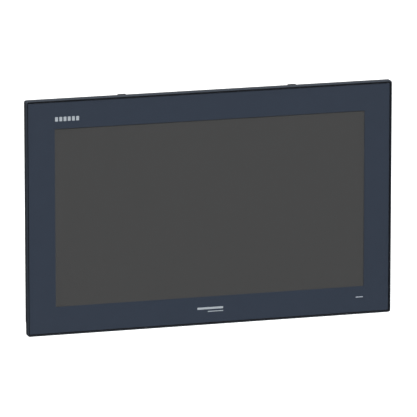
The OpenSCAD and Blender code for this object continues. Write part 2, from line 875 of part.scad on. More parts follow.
// The outline of a nine-way D connector, in X and Y
module d_outline(grow) {
    wide = 8.2 + grow;
    narrow = 6.8 + grow;
    half_t = 4.1 + grow;
    polygon([[-wide, half_t], [wide, half_t], [narrow, -half_t], [-narrow, -half_t]]);
}

module serial_port() {
    plate_t = 1;
    shell_l = 5;
    pin_pitch = 2.76;
    pin_row = 1.4;
    translate([serial_x, parts_y + serial_y, bay_z]) {
        color("#c4c6c7") {
            bar_z(-plate_t, 0) difference() {
                rounded(31, 12.4, 1.5);
                d_outline(-0.5);
                for (x = [-serial_post_x, serial_post_x]) translate([x, 0]) circle(r = 1.6, $fn = coarse);
            }
            bar_z(-plate_t - shell_l, -plate_t) difference() {
                d_outline(0.2);
                d_outline(-0.5);
            }
            bar_z(-0.5, 12) square([19, 9.8], center = true);
            for (x = [-serial_post_x, serial_post_x]) {
                translate([x, 0, -plate_t - shell_l]) cylinder(h = shell_l, r = 2.7, $fn = 6);
                rod_z(x, 0, 1.5, -plate_t - 0.1, 3);
            }
        }
        color("#caa24a") {
            for (i = [-2:2]) rod_z(i * pin_pitch, pin_row, 0.5, -shell_l, -0.4);
            for (i = [-1.5:1.5]) rod_z(i * pin_pitch, -pin_row, 0.5, -shell_l, -0.4);
        }
    }
}

module video_port() {
    low_z = bay_z - 0.8;
    mid_y = 3.4;
    half_w = 8;
    half_t = 2.5;
    cut_corner = 1.6;
    color("#cfd1d2") difference() {
        port_box(video_x, video_w, 0, video_t, low_z, low_z + 16);
        translate([video_x, parts_y + mid_y, 0]) bar_z(low_z - over, low_z + 9) polygon([
            [-half_w, half_t], [half_w, half_t], [half_w, cut_corner - half_t],
            [half_w - cut_corner, -half_t], [-half_w, -half_t]
        ]);
    }
    color("#26282b") port_box(video_x, 12.8, mid_y - 0.7, mid_y + 0.7, low_z + 1, low_z + 9.1);
}

// The fixed half of the supply's terminal block, with one blade for each pole
module power_header() {
    low_z = bay_z - 3;
    shell_t = 1.2;
    color("#2f7d4f") difference() {
        port_box(power_x, header_w, 0, header_t, low_z, low_z + 20);
        port_box(power_x, header_w - 2 * shell_t, shell_t, header_t - shell_t, low_z - over, low_z + 9);
    }
    color("#c4c6c7") for (x = pole_x) port_box(x, 1, 5.5, 6.5, low_z + 2.5, low_z + 9.1);
}

module card_socket() {
    low_z = -119;
    high_z = -88.8;
    color("#c9cbcc") difference() {
        port_box(card_x, 28, 0, 3.8, low_z, high_z);
        port_box(card_x, 24.4, 0.8, 3.3, low_z - over, high_z - 1.2);
        port_box(card_x, 18, 0.8, 5, low_z - over, low_z + 7);
    }
}

module switch_frame() {
    color("#1c1d1f") difference() {
        union() {
            box([switch_x - 11.5, switch_y - 7.6, bay_z - 1.6], [switch_x + 11.5, switch_y + 7.6, bay_z]);
            box([switch_x - 10, switch_y - 6.5, bay_z - 0.1], [switch_x + 10, switch_y + 6.5, bay_z + 14]);
        }
        box([switch_x - 9.2, switch_y - 5.1, bay_z - 3], [switch_x + 9.2, switch_y + 5.1, bay_z + 9]);
    }
    color("#c4c6c7") {
        rod_y(switch_x, rocker_z, rocker_pin_r, switch_y - 5.2, switch_y + 5.2, fine);
        for (x = [-5, 5])
            box([switch_x + x - 0.4, parts_y, bay_z + 5], [switch_x + x + 0.4, switch_y - 6.4, bay_z + 8]);
    }
}

// Moving pieces

// The loose half of the supply's terminal block, with a wire entry and a screw well for each pole
module power_plug() {
    low_z = bay_z - 19;
    top_z = bay_z - 3.2;
    shelf = 2.4;
    color("#3c9460") difference() {
        union() {
            port_box(power_x, plug_w, -0.4, plug_t, low_z, top_z);
            port_box(power_x, 17.2, 1.4, 10.6, top_z - 0.5, bay_z + 5.2);
        }
        for (x = pole_x) {
            rod_y(x, screw_z, plug_screw_r + running, parts_y + plug_t - 5.6, parts_y + plug_t + over, fine);
            port_box(x, 3.4, 2.6, 7.6, low_z - over, low_z + 5);
            port_box(x, 1.6, 5.2, 6.8, bay_z - 2.6, bay_z + 6);
        }
        port_box(power_x, plug_w + 2, plug_t - shelf, plug_t + over, low_z - over, low_z + shelf);
    }
}

// One slotted terminal screw in its well
module plug_screw(x) {
    top_y = parts_y + plug_t - 1.2;
    slot_w = 0.7;
    slot_depth = 0.8;
    color("#c9cbcc") difference() {
        rod_y(x, screw_z, plug_screw_r, top_y - 4.3, top_y, fine);
        box([x - 3, top_y - slot_depth, screw_z - slot_w / 2], [x + 3, top_y + over, screw_z + slot_w / 2]);
    }
}

module plug_screw_1() {
    plug_screw(pole_x[0]);
}

module plug_screw_2() {
    plug_screw(pole_x[1]);
}

module plug_screw_3() {
    plug_screw(pole_x[2]);
}

module power_rocker() {
    half = 8.1;
    half_t = 4.8;
    outline = [
        [-half, 3], [-half, -half_t], [0, -3.2], [half, -half_t], [half, 3], [2.4, 5.4], [-2.4, 5.4]
    ];
    color("#232427") difference() {
        translate([switch_x, switch_y, rocker_z]) rotate([0, rocker_tilt, 0])
            slab(-half_t, half_t) polygon(outline);
        rod_y(switch_x, rocker_z, rocker_pin_r + running, switch_y - 10, switch_y + 10, fine);
    }
}

module reset_button() {
    color("#2b2d30") {
        rod_z(reset_x, reset_y, 2, bay_z - 1.4, bay_z + 2.4);
        rod_z(reset_x, reset_y, 2.8, bay_z + 1.9, bay_z + 3.3);
        rod_z(reset_x, reset_y, 1.4, bay_z + 3.2, bay_z + 6.2);
    }
}

module card_door() {
    y0 = door_pin_y0 + 1.7;
    y1 = door_pin_y1 - 1.7;
    far_x = card_x + 16;
    color("#2b2d30") difference() {
        union() {
            box([door_hinge_x, y0, bay_z - 1.7], [far_x, y1, bay_z - 0.3]);
            rod_y(door_hinge_x, door_hinge_z, 1.5, y0, y1, fine);
            box([far_x - 3.5, y0 + 3, bay_z - 3], [far_x, y1 - 3, bay_z - 1.6]);
        }
        rod_y(door_hinge_x, door_hinge_z, door_pin_r + running, y0 - over, y1 + over, fine);
    }
}

module memory_card() {
    low_z = -122.6;
    card_w = 24;
    card_h = 32;
    color("#26406e") slab(parts_y + 1, parts_y + 3.1) difference() {
        translate([card_x - card_w / 2, low_z]) square([card_w, card_h]);
        translate([card_x + card_w / 2, low_z + card_h]) rotate(45) square([6, 6], center = true);
    }
}

module hinge_pins() {
    color("#c9cbcc") {
        for (x = [-1, 1])
            rod_x(hook_pivot[0], hook_pivot[1], hook_pin_r, x * hook_x - 8.4, x * hook_x + 8.4, fine);
        rod_y(door_hinge_x, door_hinge_z, door_pin_r, door_pin_y0, door_pin_y1, fine);
    }
}

// A stepped bracket under the housing's top wall, with two ears and a spring seat
module hook_bracket(x) {
    inner_z = housing_h / 2 - wall;
    back_y = 36.4;
    fixed_y = 28;
    seat_y = 14;
    ear_t = 1.2;
    ear_x = hook_w / 2 + 0.5;
    out_x = ear_x + ear_t;
    seat_z = spring_low_z - ear_t;
    difference() {
        union() {
            box([x - out_x, fixed_y, inner_z - ear_t], [x + out_x, back_y, inner_z]);
            box([x - out_x, seat_y, seat_z], [x + out_x, back_y, spring_low_z]);
            for (left = [x - out_x, x + ear_x]) {
                box([left, seat_y, seat_z], [left + ear_t, back_y, inner_z - 8]);
                box([left, fixed_y, inner_z - 9], [left + ear_t, back_y, inner_z]);
            }
        }
        rod_x(hook_pivot[0], hook_pivot[1], hook_pin_r, x - 12, x + 12, fine);
    }
}

module hook_brackets() {
    color("#b1b4b6") for (side = [-1, 1]) hook_bracket(side * hook_x);
}

// A hook: an arm from its pivot forwards, a catch that faces the mounting panel and a ramp behind it
module hook(x) {
    tip = [hook_catch_y, hook_top_z];
    color("#2b2d30") difference() {
        union() {
            bar_x(x - hook_w / 2, x + hook_w / 2) polygon([
                hook_pivot - [0, 2.6], [hook_catch_y, 159.4], tip - [0, 1], tip + [1, 0],
                tip + [3, 0], [24, 165.4], hook_pivot + [0, 3]
            ]);
            rod_x(hook_pivot[0], hook_pivot[1], hook_boss_r, x - hook_w / 2, x + hook_w / 2, fine);
        }
        rod_x(hook_pivot[0], hook_pivot[1], hook_pin_r + running, x - hook_w, x + hook_w, fine);
        box([x - 3.6, 12, spring_low_z], [x + 3.6, 27, hook_pocket_z]);
    }
}

module hook_left() {
    hook(-hook_x);
}

module hook_right() {
    hook(hook_x);
}

// A coil spring along Z, swept ring by ring with flat ends closed
module coil(x) {
    sides = 8;
    steps = spring_turns * 20;
    low_z = spring_low_z + spring_wire_r;
    lift = (spring_high_z - spring_wire_r - low_z) / steps;
    function ring_point(i, k) =
        let (turn = i * 18, around = k * 360 / sides, out = spring_r + spring_wire_r * cos(around))
        [x + out * cos(turn), spring_y + out * sin(turn), low_z + i * lift + spring_wire_r * sin(around)];
    points = [for (i = [0:steps], k = [0 : sides - 1]) ring_point(i, k)];
    skin = [
        for (i = [0 : steps - 1], k = [0 : sides - 1])
            let (a = i * sides + k, b = i * sides + (k + 1) % sides) [a, a + sides, b + sides, b]
    ];
    ends = [[for (k = [0 : sides - 1]) k], [for (k = [sides - 1 : -1 : 0]) steps * sides + k]];
    polyhedron(points = points, faces = concat(skin, ends));
}

module hook_spring_left() {
    color("#c9cbcc") coil(-hook_x);
}

module hook_spring_right() {
    color("#c9cbcc") coil(hook_x);
}

front_bezel();
cover_glass();
glass_seal();
border_print();
legend_marks();
glass_tape();
touch_sensor();
status_lens();
status_board();
lcd_cushion();
lcd_front_frame();
lcd_cell();
optical_sheets();
light_guide();
led_bar();
lcd_tray();
lcd_rails();
panel_gasket();
rear_housing();
rear_cover();
carrier_plate();
mainboard();
board_parts();
board_fixings();
processor();
heat_sink();
memory_module();
coin_cell();
solid_state_drive();
power_board();
touch_controller();
sensor_flex();
display_cable();
ethernet_jacks();
usb_ports();
serial_port();
video_port();
power_header();
card_socket();
switch_frame();
service_cover();
cover_screws();
housing_screws();
vesa_inserts();
ground_stud();
rating_plate();
hook_brackets();
hinge_pins();
hook_spring_left();
hook_spring_right();
hook_left();
hook_right();
power_plug();
plug_screw_1();
plug_screw_2();
plug_screw_3();
power_rocker();
reset_button();
card_door();
memory_card();
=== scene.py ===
"""A flush-glass operator panel for a cabinet door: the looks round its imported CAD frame."""

import math
import random

import bmesh
import bpy
from mathutils import Matrix, Vector


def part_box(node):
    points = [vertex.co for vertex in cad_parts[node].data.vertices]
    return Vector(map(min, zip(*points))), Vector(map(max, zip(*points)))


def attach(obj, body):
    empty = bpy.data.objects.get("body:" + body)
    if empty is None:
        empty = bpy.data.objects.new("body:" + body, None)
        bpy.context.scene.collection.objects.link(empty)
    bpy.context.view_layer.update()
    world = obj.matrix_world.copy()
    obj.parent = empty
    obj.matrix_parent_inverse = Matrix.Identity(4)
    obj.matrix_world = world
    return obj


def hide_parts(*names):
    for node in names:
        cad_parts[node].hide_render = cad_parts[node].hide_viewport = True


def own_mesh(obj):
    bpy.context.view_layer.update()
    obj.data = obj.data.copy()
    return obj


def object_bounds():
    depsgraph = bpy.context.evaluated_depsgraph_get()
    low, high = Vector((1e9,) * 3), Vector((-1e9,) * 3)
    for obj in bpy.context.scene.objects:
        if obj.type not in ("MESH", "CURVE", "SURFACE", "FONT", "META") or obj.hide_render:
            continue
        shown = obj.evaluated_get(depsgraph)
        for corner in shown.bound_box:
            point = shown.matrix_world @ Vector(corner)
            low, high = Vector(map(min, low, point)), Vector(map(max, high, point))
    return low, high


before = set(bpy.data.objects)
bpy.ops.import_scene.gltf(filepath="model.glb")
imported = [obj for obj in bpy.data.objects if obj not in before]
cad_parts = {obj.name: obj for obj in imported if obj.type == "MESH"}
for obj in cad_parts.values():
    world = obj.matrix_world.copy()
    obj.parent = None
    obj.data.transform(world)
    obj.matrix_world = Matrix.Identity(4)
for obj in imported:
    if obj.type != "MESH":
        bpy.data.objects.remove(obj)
cad_low, cad_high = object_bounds()

MM = 0.001
ROOT = "panel"


# ---------------------------------------------------------------- camera and stage

# The photograph's camera, worked out from the panel's straight edges
AZIMUTH = math.radians(-16.19)
ELEVATION = math.radians(12.79)
DISTANCE = 8.304
LENS = 483.5
SIDE_STEP = Vector((-3.48, -0.38)) * MM

FLOOR_DROP = 0.75
FLOOR_HALF = 30.0
WORN_WIDTH = 0.7 * MM


def in_scene(name, data):
    """A new object, linked to the scene."""
    thing = bpy.data.objects.new(name, data)
    bpy.context.scene.collection.objects.link(thing)
    return thing


def add_camera():
    data = bpy.data.cameras.new("camera")
    data.lens = LENS
    data.sensor_width = 36
    data.clip_end = 100
    camera = in_scene("camera", data)
    back = Vector((
        math.sin(AZIMUTH) * math.cos(ELEVATION),
        -math.cos(AZIMUTH) * math.cos(ELEVATION),
        math.sin(ELEVATION),
    ))
    turn = (-back).to_track_quat("-Z", "Y")
    front_low, front_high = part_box("front_bezel")
    front = (front_low + front_high) / 2
    front.y = front_low.y
    camera.location = front + back * DISTANCE + turn @ Vector((*SIDE_STEP, 0))
    camera.rotation_mode = "QUATERNION"
    camera.rotation_quaternion = turn
    bpy.context.scene.camera = camera


def add_floor():
    """A plain pale floor, well below the panel, which hangs clear of it as it would in its door."""
    depth = cad_low.z - FLOOR_DROP
    mesh = bpy.data.meshes.new("floor")
    corners = [(a * FLOOR_HALF, b * FLOOR_HALF, depth) for a, b in ((-1, -1), (1, -1), (1, 1), (-1, 1))]
    mesh.from_pydata(corners, [], [(0, 1, 2, 3)])
    floor = in_scene("floor", mesh)
    shade = Shade("floor_white")
    shade.feed("Base Color", shade.mix(shade.noise(scale=0.6), (0.88, 0.88, 0.88), (0.9, 0.9, 0.9)))
    shade.set("Roughness", 0.9)
    shade.set("Emission Color", (1, 1, 1, 1))
    shade.set("Emission Strength", 0.55)
    # Seen from below, the floor is clear, so that it doesn't hide the panel's underside
    below = shade.add("ShaderNodeNewGeometry").outputs["Backfacing"]
    shade.choose(below, shade.bsdf, shade.add("ShaderNodeBsdfTransparent"))
    mesh.materials.append(shade.material)
    floor.visible_diffuse = False
    floor.visible_glossy = False
    floor.visible_shadow = False


def add_sun(name, energy, width_deg, travel):
    data = bpy.data.lights.new(name, "SUN")
    data.energy = energy
    data.angle = math.radians(width_deg)
    lamp = in_scene(name, data)
    lamp.rotation_mode = "QUATERNION"
    lamp.rotation_quaternion = Vector(travel).to_track_quat("-Z", "Y")


def add_lights():
    """A soft key from above and in front, a lamp that reaches the back from below, and the studio's fill."""
    add_sun("key", 3.6, 16, (0.06, 0.76, -0.52))
    add_sun("rear", 2.4, 25, (-0.4, -0.7, 0.6))

    world = bpy.data.worlds.new("studio")
    bpy.context.scene.world = world
    world.use_nodes = True
    tree = world.node_tree
    tree.nodes.clear()
    seen, fill, way, parts, height, path, either, output = (tree.nodes.new(f"ShaderNode{kind}") for kind in (
        "Background", "Background", "TexCoord", "SeparateXYZ", "MapRange", "LightPath", "MixShader",
        "OutputWorld",
    ))
    seen.inputs["Color"].default_value = (1, 1, 1, 1)
    fill.inputs["Color"].default_value = (0.97, 0.98, 1, 1)
    # The studio's fill is brighter above than below
    for name, value in (("From Min", -0.35), ("From Max", 0.5), ("To Min", 0.07), ("To Max", 0.5)):
        height.inputs[name].default_value = value
    for source, target in (
        (way.outputs["Generated"], parts.inputs[0]),
        (parts.outputs["Z"], height.inputs["Value"]),
        (height.outputs["Result"], fill.inputs["Strength"]),
        (path.outputs["Is Camera Ray"], either.inputs["Fac"]),
        (fill.outputs[0], either.inputs[1]),
        (seen.outputs[0], either.inputs[2]),
        (either.outputs[0], output.inputs["Surface"]),
    ):
        tree.links.new(source, target)

    bpy.context.scene.view_settings.view_transform = "Standard"
    bpy.context.scene.view_settings.look = "None"


# ---------------------------------------------------------------- materials


class Shade:
    """One procedural material while it is being put together."""

    def __init__(self, name):
        self.material = bpy.data.materials.new(name)
        self.material.use_nodes = True
        self.tree = self.material.node_tree
        self.bsdf = self.tree.nodes["Principled BSDF"]
        self.output = self.tree.nodes["Material Output"]
        self.place = self.add("ShaderNodeTexCoord").outputs["Object"]

    def add(self, kind, inputs=None, **settings):
        made = self.tree.nodes.new(kind)
        for key, value in settings.items():
            setattr(made, key, value)
        for key, value in (inputs or {}).items():
            made.inputs[key].default_value = value
        return made

    def link(self, source, target):
        self.tree.links.new(source, target)

    def set(self, name, value):
        self.bsdf.inputs[name].default_value = value

    def feed(self, name, source):
        self.link(source, self.bsdf.inputs[name])

    def choose(self, factor, first, second):
        """Makes the surface a blend of two shaders: the first at 0, the second at 1."""
        either = self.add("ShaderNodeMixShader")
        self.link(factor, either.inputs["Fac"])
        self.link(first.outputs[0], either.inputs[1])
        self.link(second.outputs[0], either.inputs[2])
        self.link(either.outputs[0], self.output.inputs["Surface"])

    def stretched(self, stretch):
        if stretch == (1, 1, 1):
            return self.place
        made = self.add("ShaderNodeMapping", {"Scale": stretch})
        self.link(self.place, made.inputs["Vector"])
        return made.outputs["Vector"]

    def noise(self, scale, detail=3.0, stretch=(1, 1, 1)):
        made = self.add("ShaderNodeTexNoise", {"Scale": scale, "Detail": detail})
        self.link(self.stretched(stretch), made.inputs["Vector"])
        return made.outputs["Fac"]

    def cells(self, scale, output="Distance"):
        made = self.add("ShaderNodeTexVoronoi", {"Scale": scale})
        self.link(self.place, made.inputs["Vector"])
        return made.outputs[output]

    def spread(self, value, low, high, to_low=0.0, to_high=1.0):
        made = self.add(
            "ShaderNodeMapRange",
            {"From Min": low, "From Max": high, "To Min": to_low, "To Max": to_high},
        )
        self.link(value, made.inputs["Value"])
        return made.outputs["Result"]

    def mix(self, factor, a, b):
        made = self.add("ShaderNodeMix", data_type="RGBA")
        self.link(factor, made.inputs["Factor"])
        for key, value in (("A", a), ("B", b)):
            socket = [s for s in made.inputs if s.name == key and s.type == "RGBA"][0]
            if isinstance(value, tuple):
                socket.default_value = (*value, 1)
            else:
                self.link(value, socket)
        return [s for s in made.outputs if s.type == "RGBA"][0]

    def math(self, operation, a, b):
        made = self.add("ShaderNodeMath", operation=operation)
        for i, value in enumerate((a, b)):
            if isinstance(value, (int, float)):
                made.inputs[i].default_value = value
            else:
                self.link(value, made.inputs[i])
        return made.outputs[0]

    def bump(self, height, strength, depth_mm):
        made = self.add("ShaderNodeBump", {"Strength": strength, "Distance": depth_mm * MM})
        self.link(height, made.inputs["Height"])
        self.feed("Normal", made.outputs["Normal"])

    def edges(self):
        """1 on convex and concave edges, 0 on open faces."""
        round_off = self.add("ShaderNodeBevel", {"Radius": WORN_WIDTH}, samples=4)
        facing = self.add("ShaderNodeNewGeometry")
        both = self.add("ShaderNodeVectorMath", operation="DOT_PRODUCT")
        self.link(round_off.outputs["Normal"], both.inputs[0])
        self.link(facing.outputs["Normal"], both.inputs[1])
        return self.spread(both.outputs["Value"], 0.995, 0.86)


def scaled(colour, factor):
    return tuple(min(1.0, c * factor) for c in colour)


def surface(
    name, colour, rough, metal=0.0, vary=0.06, grain=1400, stretch=(1, 1, 1), bump=0.1, depth=0.03, wear=0.0,
    **constants,
):
    """A surface with uneven tone, uneven roughness, a fine grain and, if wear is over 0, rubbed edges."""
    shade = Shade(name)
    cloud = shade.noise(scale=grain * 0.02, detail=4)
    fine = shade.noise(scale=grain, detail=2, stretch=stretch)
    tone = shade.mix(shade.spread(cloud, 0.3, 0.7), scaled(colour, 1 - vary), scaled(colour, 1 + vary))
    roughness = shade.spread(fine, 0.25, 0.75, max(rough - 0.07, 0.02), min(rough + 0.07, 1))
    if wear:
        patches = shade.spread(shade.noise(grain * 0.15), 0.45, 0.75, 0, wear)
        worn = shade.math("MULTIPLY", shade.edges(), patches)
        tone = shade.mix(worn, tone, scaled(tuple(c + 0.06 for c in colour), 2.2))
        roughness = shade.math("SUBTRACT", roughness, shade.math("MULTIPLY", worn, 0.12))
    shade.feed("Base Color", tone)
    shade.feed("Roughness", roughness)
    shade.set("Metallic", metal)
    for key, value in constants.items():
        shade.set(key.replace("_", " "), value)
    shade.bump(fine, bump, depth)
    return shade.material


def zinc_sheet(name, colour, rough):
    """Zinc-coated sheet: flat crystals of slightly different tone, under fine rolling lines."""
    shade = Shade(name)
    level = shade.add("ShaderNodeSeparateColor")
    shade.link(shade.cells(240, output="Color"), level.inputs["Color"])
    shade.feed("Base Color", shade.mix(level.outputs[0], scaled(colour, 0.92), scaled(colour, 1.05)))
    shade.feed("Roughness", shade.spread(level.outputs[1], 0, 1, rough - 0.1, rough + 0.1))
    shade.set("Metallic", 0.9)
    shade.bump(shade.noise(2500, stretch=(0.05, 1, 1)), 0.1, 0.01)
    return shade.material


def clear_sheet(name, tint, rough):
    """Glass or clear plastic as a thin pane: it shows what lies behind it and mirrors a little."""
    shade = Shade(name)
    etched = shade.noise(5200, detail=2)
    shade.set("Base Color", (1, 1, 1, 1))
    shade.set("Metallic", 1.0)
    shade.feed("Roughness", shade.spread(etched, 0.3, 0.7, rough * 0.8, rough * 1.2))
    shade.bump(etched, 0.02, 0.002)
    # Only the outer faces mirror, so that what lies behind isn't seen twice
    inner = shade.add("ShaderNodeNewGeometry").outputs["Backfacing"]
    mirror = shade.add("ShaderNodeFresnel", {"IOR": 1.45}).outputs["Fac"]
    mirrored = shade.math("MULTIPLY", mirror, shade.spread(inner, 0, 1, 0.6, 0))
    behind = shade.add("ShaderNodeBsdfTransparent", {"Color": (*tint, 1)})
    shade.choose(mirrored, behind, shade.bsdf)
    return shade.material


def film(name, colour, opacity, rough):
    """A thin clear film, mostly seen through."""
    shade = Shade(name)
    shade.feed("Base Color", shade.mix(shade.noise(40), scaled(colour, 0.95), scaled(colour, 1.05)))
    shade.feed("Roughness", shade.spread(shade.noise(900), 0, 1, rough - 0.05, rough + 0.05))
    shade.set("Alpha", opacity)
    return shade.material


def screen_face(name, colour):
    """A switched-off screen: a dark, even face with a faint grid of cells and a satin polariser."""
    shade = Shade(name)
    pitch = 0.2482 * MM
    grid = shade.add("ShaderNodeTexChecker", {"Scale": 1 / pitch})
    shade.link(shade.place, grid.inputs["Vector"])
    tone = shade.mix(shade.noise(6), scaled(colour, 0.985), scaled(colour, 1.015))
    shade.feed("Base Color", shade.mix(grid.outputs["Fac"], tone, scaled(colour, 0.98)))
    shade.feed("Roughness", shade.spread(shade.noise(3000), 0, 1, 0.5, 0.62))
    shade.set("Specular IOR Level", 0.2)
    return shade.material


def circuit_board(name, colour):
    """Solder resist over copper: lighter runs of track, and dull pads."""
    shade = Shade(name)
    brick = shade.add(
        "ShaderNodeTexBrick", {"Scale": 140.0, "Mortar Size": 0.06, "Brick Width": 0.9, "Row Height": 0.22}
    )
    turned = shade.add("ShaderNodeMapping", {"Rotation": (math.pi / 2, 0, 0)})
    shade.link(shade.place, turned.inputs["Vector"])
    shade.link(turned.outputs["Vector"], brick.inputs["Vector"])
    regions = shade.spread(shade.noise(55, detail=1), 0.45, 0.52)
    tracks = shade.math("MULTIPLY", brick.outputs["Fac"], regions)
    tone = shade.mix(tracks, colour, scaled(colour, 1.7))
    dots = shade.spread(shade.cells(420), 0.16, 0.12)
    pads = shade.math("MULTIPLY", dots, shade.spread(shade.noise(70), 0.5, 0.56))
    shade.feed("Base Color", shade.mix(pads, tone, (0.55, 0.5, 0.36)))
    shade.feed("Roughness", shade.spread(shade.noise(900), 0, 1, 0.3, 0.5))
    shade.bump(tracks, 0.3, 0.04)
    return shade.material


def make_materials():
    lines_x = (0.03, 1, 1)
    lines_z = (1, 1, 0.03)
    return {
        "bezel": surface(
            "bezel_paint", (0.021, 0.0285, 0.041), 0.48, vary=0.05, grain=2600,
            bump=0.12, depth=0.03, wear=0.25
        ),
        "glass": clear_sheet("cover_glass_clear", (0.985, 0.99, 0.99), 0.08),
        "seal": surface(
            "seal_rubber", (0.005, 0.006, 0.008), 0.7, grain=1800, bump=0.2, Specular_IOR_Level=0.2
        ),
        "ink": surface(
            "border_ink", (0.0254, 0.0342, 0.0525), 0.55, vary=0.02, grain=3000, bump=0.03, depth=0.004,
            Specular_IOR_Level=0.2,
        ),
        "mark": surface("mark_ink", (0.37, 0.4, 0.435), 0.5, vary=0.02, grain=3000, bump=0.03, depth=0.004),
        "tape": surface("foam_tape", (0.012, 0.012, 0.013), 0.85, grain=2200, bump=0.4, depth=0.05),
        "sensor": film("sensor_film", (0.6, 0.61, 0.62), 0.02, 0.3),
        "lens": surface(
            "lens_frosted", (0.4, 0.42, 0.48), 0.4, vary=0.03, grain=2600, Subsurface_Weight=0.1
        ),
        "board": circuit_board("board_green", (0.012, 0.1, 0.045)),
        "foam": surface("foam_black", (0.01, 0.01, 0.01), 0.9, grain=1500, bump=0.5, depth=0.08),
        "zinc": zinc_sheet("zinc_sheet", (0.55, 0.56, 0.57), 0.38),
        "screen": screen_face("screen_face", (0.0305, 0.0291, 0.0283)),
        "diffuser": surface("diffuser_film", (0.85, 0.86, 0.87), 0.6, vary=0.02, grain=3500, bump=0.1),
        "acrylic": clear_sheet("guide_acrylic", (0.93, 0.96, 0.97), 0.1),
        "strip": surface("lamp_strip", (0.82, 0.82, 0.77), 0.5, grain=1500),
        "mill": surface("mill_aluminium", (0.62, 0.63, 0.65), 0.36, 0.95, 0.04, 1800, lines_x, 0.12, 0.02),
        "gasket": surface("gasket_rubber", (0.018, 0.019, 0.021), 0.8, grain=1500, bump=0.35, depth=0.06),
        "housing": surface(
            "housing_paint", (0.028, 0.034, 0.044), 0.46, vary=0.05, grain=1500,
            bump=0.3, depth=0.05, wear=0.35
        ),
        "chip": surface("chip_black", (0.018, 0.019, 0.021), 0.55, grain=2600, bump=0.15),
        "steel": surface("screw_steel", (0.6, 0.61, 0.62), 0.28, 0.95, 0.06, 2200, bump=0.08, depth=0.01),
        "dark_steel": surface(
            "screw_black", (0.035, 0.036, 0.04), 0.38, 0.7, 0.08, 2200, bump=0.1, wear=0.5
        ),
        "lid": surface("chip_lid", (0.58, 0.59, 0.6), 0.3, 0.95, 0.04, 2200, lines_z, 0.1, 0.01),
        "sink": surface(
            "sink_anodised", (0.2, 0.215, 0.235), 0.4, 0.85, 0.05, 1500, lines_z, 0.25, 0.03, wear=0.4
        ),
        "drive": surface(
            "drive_case", (0.03, 0.032, 0.037), 0.4, 0.5, 0.05, 2000, lines_x, 0.1, 0.02, wear=0.3
        ),
        "flex": surface("flex_amber", (0.4, 0.18, 0.03), 0.3, grain=1600),
        "cable": surface("cable_grey", (0.6, 0.6, 0.58), 0.5, grain=900, stretch=(14, 0.4, 0.4), bump=0.5),
        "shell": surface("port_shell", (0.6, 0.6, 0.6), 0.3, 0.95, 0.05, 1800, lines_z, 0.1, 0.02),
        "black": surface(
            "moulded_black", (0.018, 0.019, 0.021), 0.5, grain=1900, bump=0.25, depth=0.03, wear=0.2
        ),
        "green": surface("terminal_green", (0.02, 0.19, 0.075), 0.45, grain=1900, bump=0.2, depth=0.03),
        "brass": surface("turned_brass", (0.6, 0.42, 0.16), 0.28, 0.95, 0.06, 2200, lines_x, 0.1, 0.02),
        "plate": surface("label_plate", (0.6, 0.61, 0.62), 0.36, 0.9, 0.03, 2000, lines_x, 0.15, 0.01),
        "spring": surface("spring_wire", (0.45, 0.46, 0.47), 0.3, 0.95, 0.05, 2600, bump=0.1),
        "nylon": surface(
            "hook_nylon", (0.022, 0.023, 0.026), 0.48, grain=1200, bump=0.3, depth=0.04, wear=0.2
        ),
        "card": surface("card_blue", (0.02, 0.045, 0.13), 0.4, grain=2200, bump=0.15),
        "gold": surface("contact_gold", (0.75, 0.5, 0.16), 0.25, 0.95, 0.04, 2600, bump=0.05),
        "lamp_green": surface(
            "lamp_green", (0.25, 0.6, 0.3), 0.3, grain=2600, bump=0.05, Subsurface_Weight=0.1
        ),
        "lamp_amber": surface(
            "lamp_amber", (0.75, 0.45, 0.12), 0.3, grain=2600, bump=0.05, Subsurface_Weight=0.1
        ),
        "cream": surface("connector_cream", (0.72, 0.69, 0.6), 0.5, grain=1900, bump=0.15),
        "sleeve": surface("capacitor_sleeve", (0.03, 0.07, 0.17), 0.4, grain=1900, bump=0.1),
        "copper": surface("coil_copper", (0.55, 0.24, 0.1), 0.3, 0.9, 0.05, 900, (1, 1, 12), 0.6, 0.1),
    }


# ---------------------------------------------------------------- CAD nodes that stay

SHARP = math.radians(30)
SMOOTH_UP_TO = math.radians(35)
WELD_REACH = 0.001 * MM
FLAT_WITHIN = math.radians(0.5)
BEVEL_FROM = math.radians(40)

# Each node's material, and the width of the rounding on its edges in millimetres
CAD_LOOKS = {
    "front_bezel": ("bezel", 0.25), "border_print": ("ink", 0), "legend_marks": ("mark", 0),
    "glass_tape": ("tape", 0), "status_lens": ("lens", 0), "status_board": ("board", 0),
    "lcd_cushion": ("foam", 0.1), "lcd_front_frame": ("zinc", 0.1), "lcd_cell": ("screen", 0),
    "optical_sheets": ("diffuser", 0), "light_guide": ("acrylic", 0.1), "led_bar": ("strip", 0),
    "lcd_tray": ("mill", 0.3), "lcd_rails": ("zinc", 0.2), "rear_housing": ("housing", 0.25),
    "rear_cover": ("housing", 0.25), "carrier_plate": ("zinc", 0.2), "mainboard": ("board", 0.05),
    "board_fixings": ("steel", 0.1), "processor": ("lid", 0.1), "heat_sink": ("sink", 0.25),
    "coin_cell": ("steel", 0.2), "solid_state_drive": ("drive", 0.3), "power_board": ("board", 0.05),
    "sensor_flex": ("flex", 0), "display_cable": ("cable", 0), "power_header": ("green", 0.15),
    "card_socket": ("shell", 0.1), "switch_frame": ("black", 0.2), "service_cover": ("housing", 0.2),
    "rating_plate": ("plate", 0.1), "hook_brackets": ("zinc", 0.15), "hinge_pins": ("steel", 0.15),
    "hook_left": ("nylon", 0.3), "hook_right": ("nylon", 0.3), "power_plug": ("green", 0.2),
    "plug_screw_1": ("steel", 0.1), "plug_screw_2": ("steel", 0.1), "plug_screw_3": ("steel", 0.1),
    "power_rocker": ("black", 0.25), "reset_button": ("black", 0.15), "card_door": ("black", 0.2),
    "memory_card": ("card", 0.15), "vesa_inserts": ("brass", 0.15),
}


